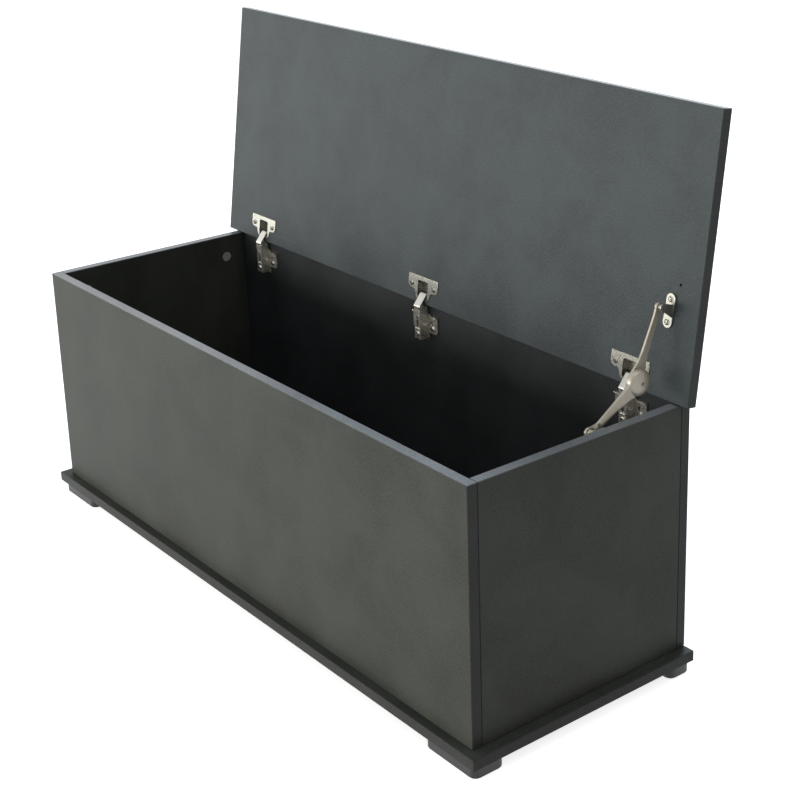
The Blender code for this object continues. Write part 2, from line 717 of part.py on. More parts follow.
def screw_mesh(name, head_radius, head_height, shank_radius, length):
    """A pan-head screw about Z with its head upwards, seated at the origin, with a cross recess."""
    profile = (
        (0.0, head_height),
        (head_radius * 0.62, head_height * 0.94),
        (head_radius * 0.93, head_height * 0.55),
        (head_radius, 0.0),
        (shank_radius, 0.0),
        (shank_radius, -length * 0.86),
        (0.0, -length),
    )
    reach, half = head_radius * RECESS_REACH_SHARE, RECESS_ARM_WIDTH / 2
    floor = head_height * (1 - RECESS_DEPTH_SHARE)
    cross = cross_cuts(reach, reach, half, floor, 2 * head_height)
    return smoothed(combined(name, turned_mesh(name, profile), *cross))


def cup_cavity():
    """The outline of the cup's mouth: flat near the lid's edge, round at its sides, and square at its top."""
    centre = (0.0, CUP_CENTRE)
    flat = math.degrees(math.asin((CUP_CENTRE - CUP_CAVITY_BOTTOM) / CUP_CAVITY_RADIUS))
    side = math.degrees(math.acos(CUP_CAVITY_HALF_WIDTH / CUP_CAVITY_RADIUS))
    lower_right = arc(centre, CUP_CAVITY_RADIUS, -flat, -side)
    corner = CUP_CAVITY_HALF_WIDTH - CUP_CAVITY_CORNER
    upper_right = arc((corner, CUP_CAVITY_TOP - CUP_CAVITY_CORNER), CUP_CAVITY_CORNER, 0, 90)
    right = lower_right + upper_right
    return right + [Vector((-x, y)) for x, y in reversed(right)]


def flange_outline():
    """The outline of the cup's flange: a straight top, two wings and the round rim of the cup below them."""
    wing_x, top_corner, low_corner = FLANGE_HALF_WIDTH, FLANGE_TOP_CORNER, FLANGE_BOTTOM_CORNER
    join = math.degrees(math.asin((CUP_CENTRE - FLANGE_BOTTOM) / CUP_RIM_RADIUS))
    rim = arc((0.0, CUP_CENTRE), CUP_RIM_RADIUS, -90, -join - RIM_JOIN_DEG)
    low = arc((wing_x - low_corner, FLANGE_BOTTOM + low_corner), low_corner, -90, 0)
    top = arc((wing_x - top_corner, FLANGE_TOP - top_corner), top_corner, 0, 90)
    right = rim + low + top
    return right + [Vector((-x, y)) for x, y in reversed(right[1:])]


def cup_mesh():
    """A hinge cup in the lid's terms: x across, y into the lid and z along it from the back edge."""
    face = -SEAT_GAP
    front = face - FLANGE_THICKNESS
    flange = face_plate("flange", [flange_outline()], front, face)
    bowl_bottom = CUP_DEPTH - SEAT_GAP
    middle = (front + face) / 2
    bowl = rod_mesh("bowl", ((0, middle, CUP_CENTRE), (0, bowl_bottom, CUP_CENTRE), CUP_RADIUS), sides=CUP_SIDES)
    cavity = face_plate("cavity", [cup_cavity()], 2 * front, bowl_bottom - CUP_WALL)
    hole_radius = CUP_SCREW["shank_radius"] + SCREW_HOLE_CLEARANCE
    ends = [(side * CUP_SCREW_HALF_SPACING, CUP_SCREW_HEIGHT) for side in (-1, 1)]
    holes = rod_mesh("holes", *[((x, 2 * front, z), (x, -front, z), hole_radius) for x, z in ends])
    rise = CUP_CENTRE - INNER_PIN_ALONG
    pin_half = (math.sqrt(CUP_RADIUS**2 - rise**2) + math.sqrt(CUP_CAVITY_RADIUS**2 - rise**2)) / 2
    ends = (-pin_half, INNER_PIN_DEPTH, INNER_PIN_ALONG), (pin_half, INNER_PIN_DEPTH, INNER_PIN_ALONG)
    pin = rod_mesh("pin", (*ends, PIN_RADIUS))
    steps = (("UNION", bowl), ("DIFFERENCE", cavity), ("DIFFERENCE", holes), ("UNION", pin))
    return smoothed(combined("hinge_cup", flange, *steps))


def inner_link_mesh():
    """The hooked link that goes from the arm round the lid's back edge to the pin in the cup."""
    length = INNER_LINK.length
    path = (
        (0.0, 0.0),
        (0.0016, 0.0020),
        (0.0036, 0.0038),
        (0.0062, 0.00465),
        (length - 0.0042, 0.00475),
        (length - 0.0021, 0.0046),
        (length - 0.0006, 0.0033),
        (length - 0.0001, 0.0017),
        (length, 0.0),
    )
    half_widths = (INNER_EYE_RADIUS, 0.0013, 0.0007, 0.0006, 0.0006, 0.0006, 0.0007, 0.0013, CUP_EYE_RADIUS)
    bore = PIN_RADIUS + PIN_CLEARANCE
    holes = [circle((0.0, 0.0), bore, PIN_SIDES), circle((length, 0.0), bore, PIN_SIDES)]
    half = INNER_LINK_WIDTH / 2
    return smoothed(side_plate("hinge_inner_link", [strip(path, half_widths), *holes], -half, half))


def outer_link_mesh():
    """The broad bright link from the arm's knee into the cup, with its barrel on the knee's pin."""
    half_sheet = OUTER_PLATE_THICKNESS / 2
    start = EAR_RADIUS + PIN_CLEARANCE + OUTER_PLATE_THICKNESS
    end = OUTER_LINK.length + 0.0012
    curl = [math.radians(OUTER_CURL_DEG * share) for share in (1.0, 0.67, 0.33, 0.0)]
    path = (
        *((-start * math.sin(turn), start * math.cos(turn)) for turn in curl),
        (0.35 * end, start + 0.0005),
        (0.70 * end, start + 0.0012),
        (0.93 * end, start + 0.0016),
        (end, start + 0.0011),
        (end + 0.0005, start + 0.0001),
    )
    plate_half = OUTER_PLATE_WIDTH / 2
    plate = side_plate("plate", [strip(path, [half_sheet] * len(path))], -plate_half, plate_half)
    barrel_half = ARM_INNER_HALF_WIDTH - ARM_SIDE_CLEARANCE
    barrel = rod_mesh("barrel", ((-barrel_half, 0, 0), (barrel_half, 0, 0), BARREL_RADIUS), sides=CAM_SIDES)
    bore = PIN_RADIUS + PIN_CLEARANCE
    hole = rod_mesh("hole", ((-plate_half, 0, 0), (plate_half, 0, 0), bore))
    return smoothed(combined("hinge_outer_link", plate, ("UNION", barrel), ("DIFFERENCE", hole)))


def arm_side_outline():
    """The hinge arm's side: ears round both fixed pins, then a channel down to its open end."""
    knee, heel = OUTER_LINK.pivot, INNER_LINK.pivot
    shoulder = heading(heel - knee) + 90
    back = PLATE_FRONT - ARM_BACK_CLEARANCE
    outline = [Vector((back, -ARM_BOTTOM)), Vector((ARM_FRONT, -ARM_BOTTOM)), Vector((ARM_FRONT, -ARM_FRONT_TOP))]
    outline += arc(knee, EAR_RADIUS, 180, shoulder)
    outline += arc(heel, EAR_RADIUS, shoulder, -10)
    outline.append(Vector((back, -ARM_SHOULDER)))
    return outline


def arm_mesh():
    """The hinge arm: a channel with two ears, the pins that carry the links, and its slots."""
    half = ARM_WIDTH / 2
    body = side_plate("arm", [arm_side_outline()], -half, half)
    behind = INNER_BACK + BOARD_THICKNESS
    wall_back = ARM_FRONT + ARM_SHEET
    before = ARM_FRONT - ARM_SHEET
    hollow_outline = [
        (wall_back, -2 * ARM_BOTTOM),
        (wall_back, -ARM_FRONT_TOP),
        (before, -ARM_FRONT_TOP),
        (before, ARM_BOTTOM),
        (behind, ARM_BOTTOM),
        (behind, -2 * ARM_BOTTOM),
    ]
    hollow = side_plate("hollow", [hollow_outline], -ARM_INNER_HALF_WIDTH, ARM_INNER_HALF_WIDTH)
    slot = strip(((0.0, -ARM_SLOT_TOP), (0.0, -ARM_SLOT_BOTTOM)), (ARM_SLOT_RADIUS, ARM_SLOT_RADIUS))
    slot_mesh = face_plate("slot", [slot], before, wall_back + ARM_SHEET)
    front_holes = rod_mesh(
        "front_holes",
        ((0, before, -FIXING_DROP), (0, wall_back + ARM_SHEET, -FIXING_DROP), FIXING_HOLE_RADIUS),
        ((0, before, -ADJUSTER_DROP), (0, wall_back + ARM_SHEET, -ADJUSTER_DROP), ADJUSTER_RADIUS),
    )
    reach = half + PIN_HEAD
    pins = []
    for pivot in (OUTER_LINK.pivot, INNER_LINK.pivot):
        pins.append(((-reach, *pivot), (reach, *pivot), PIN_RADIUS))
    steps = (
        ("DIFFERENCE", hollow),
        ("DIFFERENCE", slot_mesh),
        ("DIFFERENCE", front_holes),
        ("UNION", rod_mesh("pins", *pins)),
    )
    return smoothed(combined("hinge_arm", body, *steps))


def mounting_plate_outline():
    """The mounting plate's outline: a spine down the back panel and a wing to each side."""
    spine, wing, corner = PLATE_SPINE_HALF_WIDTH, PLATE_HALF_WIDTH, PLATE_WING_CORNER
    right = [Vector((spine, -PLATE_SPINE_BOTTOM)), Vector((spine, -PLATE_WING_BOTTOM))]
    right += arc((wing - corner, -PLATE_WING_BOTTOM + corner), corner, -90, 0)
    right += [Vector((wing, -PLATE_WING_TOP)), Vector((spine, -PLATE_WING_TOP)), Vector((spine, -PLATE_SPINE_TOP))]
    return right + [Vector((-x, y)) for x, y in reversed(right)]


def mounting_plate_mesh():
    """The hinge's mounting plate: winged base, raised channel inside the arm, lips, slots and screw holes."""
    back = INNER_BACK - SEAT_GAP
    slots = []
    for side in (-1, 1):
        x = side * PLATE_SLOT_X
        ends = (x, -PLATE_SLOT_DROP), (x, -PLATE_SLOT_DROP - PLATE_SLOT_LENGTH + PLATE_SLOT_RADIUS)
        slots.append(strip(ends, (PLATE_SLOT_RADIUS, PLATE_SLOT_RADIUS)))
    screw_radius = PLATE_SCREW["shank_radius"] + SCREW_HOLE_CLEARANCE
    holes = [circle((side * PLATE_SCREW_X, -PLATE_SCREW_DROP), screw_radius, PIN_SIDES) for side in (-1, 1)]
    base = face_plate("base", [mounting_plate_outline(), *slots, *holes], PLATE_FRONT, back)
    inside = PLATE_FRONT + PLATE_THICKNESS / 2
    channel_front = ARM_FRONT + ARM_SHEET + PLATE_CHANNEL_GAP
    half, wall = PLATE_CHANNEL_HALF_WIDTH, PLATE_CHANNEL_WALL
    channel_low = (-half, channel_front, -PLATE_CHANNEL_BOTTOM)
    channel = block_mesh("channel", (channel_low, (half, inside, -PLATE_SPINE_TOP)))
    hollow_low = (-half + wall, channel_front + wall, -PLATE_CHANNEL_BOTTOM - wall)
    hollow = block_mesh("hollow", (hollow_low, (half - wall, PLATE_FRONT, -PLATE_SPINE_TOP + wall)))
    lips = []
    for side in (-1, 1):
        xs = sorted((side * PLATE_LIP_START, side * PLATE_HALF_WIDTH))
        low = (xs[0], PLATE_FRONT - PLATE_LIP_HEIGHT, -PLATE_WING_TOP - PLATE_LIP_THICKNESS)
        lips.append((low, (xs[1], inside, -PLATE_WING_TOP)))
    bore = ((0, channel_front - wall, -FIXING_DROP), (0, channel_front + 2 * wall, -FIXING_DROP), FIXING_HOLE_RADIUS)
    steps = (
        ("UNION", channel),
        ("DIFFERENCE", hollow),
        ("UNION", block_mesh("lips", *lips)),
        ("DIFFERENCE", rod_mesh("bore", bore)),
    )
    return smoothed(combined("hinge_plate", base, *steps))


def build_hinges(carcass, inner_pivot, outer_pivot, lid_frame):
    """The three concealed hinges: plates, arms, both links and cups, with the screws of cup and plate."""
    meshes = {
        "plate": mounting_plate_mesh(),
        "arm": arm_mesh(),
        "inner_link": inner_link_mesh(),
        "outer_link": outer_link_mesh(),
        "cup": cup_mesh(),
    }
    parents = {"plate": carcass, "arm": carcass, "inner_link": inner_pivot, "outer_link": outer_pivot, "cup": lid_frame}
    cup_screw, plate_screw = screw_mesh("cup_screw", **CUP_SCREW), screw_mesh("plate_screw", **PLATE_SCREW)
    towards_front = (math.radians(90), 0.0, 0.0)
    for place, x in HINGE_PLACES.items():
        for part, mesh in meshes.items():
            add_piece(f"hinge_{part}_{place}", mesh, "nickel", parents[part], (x, 0.0, 0.0))
        for number, side in ((1, -1), (2, 1)):
            seat = -2 * SEAT_GAP - FLANGE_THICKNESS
            location = (x + side * CUP_SCREW_HALF_SPACING, seat, CUP_SCREW_HEIGHT)
            add_piece(f"cup_screw_{place}_{number}", cup_screw, "screw_steel", lid_frame, location, towards_front)
            location = (x + side * PLATE_SCREW_X, PLATE_FRONT - SEAT_GAP, -PLATE_SCREW_DROP)
            add_piece(f"plate_screw_{place}_{number}", plate_screw, "screw_steel", carcass, location, towards_front)


def build_lid(lid_frame):
    """The lid board, with the bores for its three cups and their screws."""
    low, high = (-LID_LENGTH / 2, 0.0, 0.0), (LID_LENGTH / 2, BOARD_THICKNESS, LID_DEPTH)
    lid = add_board("lid_panel", low, high, lid_frame)
    cups, screws = [], []
    screw_end = CUP_SCREW["length"] - FLANGE_THICKNESS
    for x in HINGE_PLACES.values():
        cups.append(((x, -BOARD_THICKNESS, CUP_CENTRE), (x, CUP_DEPTH, CUP_CENTRE), CUP_RADIUS + SEAT_GAP))
        for side in (-1, 1):
            place = x + side * CUP_SCREW_HALF_SPACING
            start, end = (place, -BOARD_THICKNESS, CUP_SCREW_HEIGHT), (place, screw_end, CUP_SCREW_HEIGHT)
            screws.append((start, end, CUP_SCREW["shank_radius"] + SCREW_HOLE_CLEARANCE))
    add_boolean(lid, add_cutter("lid_cup_bores", rod_mesh("cup_bores", *cups, sides=CUP_SIDES), lid_frame))
    hole_mesh = rod_mesh("screw_holes", *screws, sides=HOLE_SIDES)
    add_boolean(lid, add_cutter("lid_screw_holes", hole_mesh, lid_frame))


def lower_arm_mesh():
    """The stay's lower arm about its pivot, widening into the hub's plate."""
    length = STAY.lower_length
    half = STAY_ARM_HALF_WIDTH
    tang = (0.0, 0.0), (length * LOWER_TANG_SHARE, -LOWER_TANG_DROP)
    shares = ((0.52, half * 1.27), (0.78, half * 1.85))
    path = [*tang, *((length * share, -LOWER_TANG_DROP * (1 - share)) for share, _ in shares), (length, 0.0)]
    outline = strip(path, [LOWER_EYE_RADIUS, half, *(width for _, width in shares), HUB_RADIUS * 0.95])
    hole = circle((0.0, 0.0), STAY_PIN_RADIUS + PIN_CLEARANCE, PIN_SIDES)
    inner = STAY_X + STAY_GAP / 2
    arm = side_plate("arm", [outline, hole], inner, inner + LOWER_ARM_THICKNESS)
    ends = (inner, length, 0.0), (inner + HUB_PLATE_THICKNESS, length, 0.0)
    disc = rod_mesh("disc", (*ends, HUB_RADIUS), sides=HUB_STEPS)
    return smoothed(combined("stay_lower_arm", arm, ("UNION", disc)))


def upper_arm_mesh():
    """The stay's upper arm about its pivot, widening into the hub's back plate and boss."""
    length = STAY.upper_length
    half = STAY_ARM_HALF_WIDTH
    shares = ((0.0, UPPER_EYE_RADIUS), (0.12, half * 0.95), (0.30, half), (0.60, half * 1.2), (0.75, half * 1.6))
    path = [(length * share, 0.0) for share, _ in shares] + [(length, 0.0)]
    outline = strip(path, [width for _, width in shares] + [HUB_RADIUS * 0.94])
    hole = circle((0.0, 0.0), STAY_PIN_RADIUS + PIN_CLEARANCE, PIN_SIDES)
    outer = STAY_X - STAY_GAP / 2
    inner = outer - UPPER_ARM_THICKNESS
    arm = side_plate("arm", [outline, hole], inner, outer)
    ends = (inner - HUB_BACK_HEIGHT, length, 0.0), (outer - STAY_GAP, length, 0.0)
    boss = rod_mesh("boss", (*ends, HUB_BACK_RADIUS), sides=HUB_STEPS)
    return smoothed(combined("stay_upper_arm", arm, ("UNION", boss)))


def hub_cap_mesh():
    """The hub's domed cap about Z, with a six-sided socket at its middle."""
    rise = HUB_CAP_HEIGHT - HUB_CAP_RIM
    sphere = (HUB_CAP_RADIUS**2 + rise**2) / (2 * rise)
    steps = 7
    profile = []
    for step in range(steps + 1):
        radius = HUB_CAP_RADIUS * step / steps
        height = HUB_CAP_RIM + math.sqrt(sphere**2 - radius**2) - (sphere - rise)
        profile.append((radius, height))
    profile += [(HUB_CAP_RADIUS, 0.0), (0.0, 0.0)]
    hexagon = circle((0.0, 0.0), HUB_SOCKET_RADIUS, 6)
    socket = outline_mesh(
        "socket", [hexagon], HUB_CAP_HEIGHT - HUB_SOCKET_DEPTH, 2 * HUB_CAP_HEIGHT, Matrix.Identity(4)
    )
    return smoothed(combined("stay_hub_cap", turned_mesh("cap", profile, HUB_STEPS), ("DIFFERENCE", socket)))


def side_bracket_mesh():
    """The bracket on the right side panel, with the boss and pin that carry the lower arm."""
    half_length, half_height = SIDE_BRACKET_LENGTH / 2, SIDE_BRACKET_HEIGHT / 2
    pin = STAY.lower_pin
    low, high = (pin.x - half_length, pin.y - half_height), (pin.x + half_length, pin.y + half_height)
    holes = [
        circle((pin.x + side * SIDE_BRACKET_SCREW_REACH, pin.y), STAY_SCREW_HOLE_RADIUS, PIN_SIDES) for side in (-1, 1)
    ]
    outline = rounded_rectangle(low, high, SIDE_BRACKET_CORNER)
    back = SIDE_INNER_X - SEAT_GAP
    base = side_plate("base", [outline, *holes], back - SIDE_BRACKET_THICKNESS, back)
    inside = back - SIDE_BRACKET_THICKNESS / 2
    arm_inner = STAY_X + STAY_GAP / 2
    arm_outer = arm_inner + LOWER_ARM_THICKNESS
    boss = rod_mesh("boss", ((arm_outer + SEAT_GAP, *pin), (inside, *pin), SIDE_BOSS_RADIUS), sides=CAM_SIDES)
    axle = rod_mesh("axle", ((arm_inner + SEAT_GAP, *pin), (inside - STAY_GAP, *pin), STAY_PIN_RADIUS))
    return smoothed(combined("stay_side_bracket", base, ("UNION", boss), ("UNION", axle)))


def lid_bracket_mesh():
    """The bracket on the lid in the lid's terms, with its ear and the pin that carries the upper arm."""
    offsets = (LID_BRACKET_UPPER_SCREW, LID_BRACKET_WAIST, LID_BRACKET_LOWER_SCREW)
    path = [(STAY_X + x, along) for x, along in offsets]
    widths = (LID_BRACKET_LOBE_RADIUS, LID_BRACKET_WAIST_RADIUS, LID_BRACKET_LOBE_RADIUS)
    holes = [circle(path[0], STAY_SCREW_HOLE_RADIUS, PIN_SIDES), circle(path[2], STAY_SCREW_HOLE_RADIUS, PIN_SIDES)]
    face = -SEAT_GAP
    base = face_plate("base", [strip(path, widths), *holes], face - LID_BRACKET_THICKNESS, face)
    pin = Vector((-UPPER_PIN_STAND_OFF, UPPER_PIN_ALONG))
    root = face - LID_BRACKET_THICKNESS / 2
    ear_outline = [Vector((root, LID_EAR_FOOT[0])), Vector((root, LID_EAR_FOOT[1]))]
    ear_outline += arc(pin, LID_EAR_RADIUS, 75, 285)
    ear_low = STAY_X + LID_EAR_OFFSET
    ear = side_plate("ear", [ear_outline], ear_low, ear_low + LID_EAR_THICKNESS)
    arm_outer = STAY_X - STAY_GAP / 2
    arm_inner = arm_outer - UPPER_ARM_THICKNESS
    head_inner = arm_inner - SEAT_GAP
    axle = rod_mesh("axle", ((head_inner - SEAT_GAP, *pin), (ear_low + SEAT_GAP, *pin), STAY_PIN_RADIUS))
    spacer = rod_mesh("spacer", ((arm_outer + SEAT_GAP, *pin), (ear_low + SEAT_GAP, *pin), LID_SPACER_RADIUS))
    head_ends = (head_inner - STAY_PIN_HEAD_HEIGHT, *pin), (head_inner, *pin)
    head = rod_mesh("head", (*head_ends, STAY_PIN_HEAD_RADIUS), sides=CAM_SIDES)
    steps = (("UNION", ear), ("UNION", axle), ("UNION", spacer), ("UNION", head))
    return smoothed(combined("stay_lid_bracket", base, *steps))


def build_stay(carcass, lid_frame):
    """The two-armed lid stay at the right end, with both brackets."""
    lower = add_frame("stay_lower_pivot", carcass, STAY.lower_pin, STAY.lower_angle)
    on_lid = (-UPPER_PIN_STAND_OFF, UPPER_PIN_ALONG)
    upper = add_frame("stay_upper_pivot", lid_frame, on_lid, STAY.upper_angle + LID_LEAN_DEG)
    arms = (
        add_piece("stay_lower_arm", lower_arm_mesh(), "satin_nickel", lower),
        add_piece("stay_upper_arm", upper_arm_mesh(), "satin_nickel", upper),
    )
    for arm in arms:
        add_bevel(arm, STAY_EDGE_RADIUS, segments=1, limit=50)
    cap_x = STAY_X + STAY_GAP / 2 + HUB_PLATE_THICKNESS + SEAT_GAP
    facing_right = (0.0, math.radians(90), 0.0)
    cap_place = (cap_x, STAY.lower_length, 0.0)
    add_piece("stay_hub_cap", hub_cap_mesh(), "satin_nickel", lower, cap_place, facing_right)
    add_piece("stay_side_bracket", side_bracket_mesh(), "satin_nickel", carcass)
    add_piece("stay_lid_bracket", lid_bracket_mesh(), "satin_nickel", lid_frame)


def joint_facts():
    """Each joint's place in the world and its turn from open to closed, with its ratio to the lid's."""
    lid_turn = CLOSED.angle - OPEN.angle
    lid_joint = lid_turn - INNER_LINK.turn
    places = {
        "inner_links": (INNER_LINK.pivot, INNER_LINK.turn),
        "lid": (INNER_LINK.pin, lid_joint),
        "outer_links": (OUTER_LINK.pivot, OUTER_LINK.turn),
        "stay_lower_arm": (STAY.lower_pin, STAY.lower_turn),
        "stay_upper_arm": (STAY.upper_pin, STAY.upper_turn),
    }
    facts = {}
    for name, (place, turn) in places.items():
        world = (0.0, BACK_Y + place.x, RIM_HEIGHT + place.y)
        facts[name] = {"pos": world, "turn": turn, "ratio": turn / lid_joint}
    return facts


def main():
    """Builds the chest and prints where its joints are."""
    carcass = add_frame("carcass", None, (BACK_Y, RIM_HEIGHT))
    inner_pivot = add_frame("inner_link_pivot", carcass, INNER_LINK.pivot, INNER_LINK.angle)
    outer_pivot = add_frame("outer_link_pivot", carcass, OUTER_LINK.pivot, OUTER_LINK.angle)
    lid_pivot = add_frame("lid_pivot", carcass, INNER_LINK.pin, -LID_LEAN_DEG)
    lid_frame = add_frame("lid_frame", lid_pivot, (-INNER_PIN_DEPTH, -INNER_PIN_ALONG))
    build_carcass(carcass)
    build_cam_locks(carcass)
    build_feet(carcass)
    build_lid(lid_frame)
    build_hinges(carcass, inner_pivot, outer_pivot, lid_frame)
    build_stay(carcass, lid_frame)
    for name, fact in joint_facts().items():
        place = ", ".join(f"{value:.6f}" for value in fact["pos"])
        print(f"{name}: at ({place}), turns {fact['turn']:.4f} degrees, ratio {fact['ratio']:.6f}")


main()
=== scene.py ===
"""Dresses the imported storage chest: melamine boards, nickel hinges, the lid stay, feet, light and camera.

Lengths are in metres. +X is the chest's right, +Y its back and +Z up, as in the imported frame. Places on the
lid are given in its own terms: x across, the distance up its inner face from its back edge, and how far out.
"""

from __future__ import annotations

import json
import logging
import math
from dataclasses import dataclass, field
from enum import Enum
from functools import cache, cached_property
from typing import NamedTuple

import bmesh
import bpy
import numpy as np
from mathutils import Matrix, Vector

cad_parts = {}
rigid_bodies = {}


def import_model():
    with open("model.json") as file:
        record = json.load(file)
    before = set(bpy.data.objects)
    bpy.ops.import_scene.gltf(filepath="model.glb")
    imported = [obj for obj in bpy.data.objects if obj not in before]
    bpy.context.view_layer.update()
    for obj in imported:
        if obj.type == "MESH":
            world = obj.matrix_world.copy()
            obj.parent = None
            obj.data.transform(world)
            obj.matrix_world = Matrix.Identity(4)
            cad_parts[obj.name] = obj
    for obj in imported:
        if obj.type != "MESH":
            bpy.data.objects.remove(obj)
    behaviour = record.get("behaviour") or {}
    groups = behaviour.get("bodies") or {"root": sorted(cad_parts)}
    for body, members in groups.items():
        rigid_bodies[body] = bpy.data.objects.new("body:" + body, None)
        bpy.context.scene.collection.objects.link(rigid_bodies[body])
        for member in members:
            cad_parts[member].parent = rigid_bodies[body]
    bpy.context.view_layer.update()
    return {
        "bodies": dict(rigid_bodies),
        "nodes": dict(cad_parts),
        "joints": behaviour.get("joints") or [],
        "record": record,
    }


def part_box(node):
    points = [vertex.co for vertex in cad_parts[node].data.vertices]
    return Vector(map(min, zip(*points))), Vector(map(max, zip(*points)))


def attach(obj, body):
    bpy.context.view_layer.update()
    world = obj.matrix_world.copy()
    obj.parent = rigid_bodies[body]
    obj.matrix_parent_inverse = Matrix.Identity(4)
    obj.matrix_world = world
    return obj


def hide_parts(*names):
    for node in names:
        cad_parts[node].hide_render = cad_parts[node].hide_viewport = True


LOG = logging.getLogger("storage_chest")
MERGE_DISTANCE = 0.000002
BORE_WIDTH = 0.02
FLAT_ANGLE = math.radians(1.5)
FORWARD = Vector((0, -1, 0))
RIGHT = Vector((1, 0, 0))
UP = Vector((0, 0, 1))

Colour = tuple[float, float, float]
Point = tuple[float, float, float]
Piece = bpy.types.Object
Shape = bmesh.types.BMesh
Tree = bpy.types.NodeTree
Socket = bpy.types.NodeSocket


class Body(Enum):
    """The chest's moving bodies, by their names in the record."""

    CARCASS = "carcass"
    LID = "lid"
    INNER_LINKS = "hinge_inner_links"
    OUTER_LINKS = "hinge_outer_links"
    STAY_LOWER = "stay_lower"
    STAY_UPPER = "stay_upper"


class HingePlace(Enum):
    """Where along the chest each hinge stands."""

    LEFT = "left"
    MIDDLE = "middle"
    RIGHT = "right"


class Slot(Enum):
    """The record's material slots."""

    BOARD = "board"
    FOOT = "foot_plastic"
    NICKEL = "nickel"
    SATIN = "satin_nickel"
    SCREW = "screw_steel"
    ZINC = "zinc"


class Look(NamedTuple):
    """A finish as a piece wears it: its material, and the record's slot that it comes from."""

    material: bpy.types.Material
    slot: Slot


class NodeTree:
    """A node tree under construction, with short ways to add and join nodes."""

    def __init__(self, tree: Tree) -> None:
        """Keeps the tree."""
        self.tree = tree

    def join(self, socket: Socket, value: object) -> None:
        """Joins an output to an input socket, or sets the input's value.

        Args:
            socket: the input socket.
            value: the output socket or the value. A colour is given without its alpha.
        """
        if isinstance(value, Socket):
            self.tree.links.new(value, socket)
        else:
            socket.default_value = (*value, 1.0) if socket.type == "RGBA" else value

    def fill(self, node: bpy.types.Node, **inputs: object) -> None:
        """Fills inputs of a node by name, with underscores for spaces."""
        for name, value in inputs.items():
            self.join(node.inputs[name.replace("_", " ")], value)

    def add(self, kind: str, settings: dict | None = None, **inputs: object) -> bpy.types.Node:
        """Adds a node and fills its inputs.

        Args:
            kind: the node's type without its ShaderNode prefix.
            settings: attributes to set on the node before its inputs.
            inputs: values or output sockets by input name, with underscores for spaces.

        Returns:
            The new node.
        """
        node = self.tree.nodes.new(f"ShaderNode{kind}")
        for name, value in (settings or {}).items():
            setattr(node, name, value)
        self.fill(node, **inputs)
        return node

    def result(self, kind: str, *values: object, **settings: str) -> Socket:
        """Adds a node and fills the inputs that its settings leave in use.

        Args:
            kind: the node's type without its ShaderNode prefix.
            values: a value or an output socket for each input in use, in order.
            settings: attributes to set on the node before its inputs.

        Returns:
            The first output in use.
        """
        node = self.add(kind, settings)
        for socket, value in zip([socket for socket in node.inputs if socket.enabled], values):
            self.join(socket, value)
        return next(socket for socket in node.outputs if socket.enabled)

    def math(self, operation: str, *values: object) -> Socket:
        """Works out a number by a Math node."""
        return self.result("Math", *values, operation=operation)

    def vector(self, operation: str, *values: object) -> Socket:
        """Works out a vector, or a number from vectors, by a Vector Math node."""
        return self.result("VectorMath", *values, operation=operation)

    def mixed(self, factor: object, first: object, second: object) -> Socket:
        """Blends two colours by a factor."""
        return self.result("Mix", factor, first, second, data_type="RGBA")

    def ramp(self, value: object, start: float, end: float, low: float = 0.0, high: float = 1.0) -> Socket:
        """Smoothly maps a value's stretch from start to end onto low to high."""
        return self.result("MapRange", value, start, end, low, high, interpolation_type="SMOOTHSTEP")

    def noise(self, vector: object, scale: object, detail: float = 2.0, **inputs: object) -> Socket:
        """Adds a noise and gives its values, most of which lie between 0.3 and 0.7."""
        return self.add("TexNoise", Vector=vector, Scale=scale, Detail=detail, **inputs).outputs["Fac"]

    def spread(self, noise: object) -> Socket:
        """Spreads a noise's usual values from -1 to 1."""
        return self.ramp(noise, 0.3, 0.7, -1.0, 1.0)

    def group(self, group: Tree, **inputs: object) -> bpy.types.bpy_prop_collection:
        """Places a shared group and gives its outputs."""
        return self.add("Group", {"node_tree": group}, **inputs).outputs

    def seen_directly(self) -> Socket:
        """Gives one for camera, glossy and transmission rays, and nothing for the rest.

        Returns:
            The number's socket.
        """
        path = self.add("LightPath").outputs
        camera, glossy, passing = (path[f"Is {name} Ray"] for name in ("Camera", "Glossy", "Transmission"))
        return self.math("MAXIMUM", self.math("MAXIMUM", camera, glossy), passing)


class Group(NodeTree):
    """A shared shader node group under construction, whose first input is a place, Vector."""

    def __init__(self, name: str, **inputs: object) -> None:
        """Opens the group.

        Args:
            name: the group's name.
            inputs: each further input's default value by its name, with underscores for spaces.
        """
        super().__init__(bpy.data.node_groups.new(name, "ShaderNodeTree"))
        for label, default in {"Vector": (0, 0, 0), **inputs}.items():
            kind = "NodeSocketVector" if isinstance(default, tuple) else "NodeSocketFloat"
            label = label.replace("_", " ")
            socket = self.tree.interface.new_socket(label, in_out="INPUT", socket_type=kind)
            socket.default_value = default
        self.given = self.tree.nodes.new("NodeGroupInput").outputs
        self.place = self.given["Vector"]

    def per(self, size: str) -> Socket:
        """The scale of a pattern whose size is one of the group's inputs."""
        return self.math("DIVIDE", 1.0, self.given[size])

    def close(self, **values: Socket) -> Tree:
        """Gives the group its outputs.

        Args:
            values: what each output puts out, by its name.

        Returns:
            The finished group.
        """
        for name in values:
            self.tree.interface.new_socket(name, in_out="OUTPUT", socket_type="NodeSocketFloat")
        self.fill(self.tree.nodes.new("NodeGroupOutput"), **values)
        return self.tree


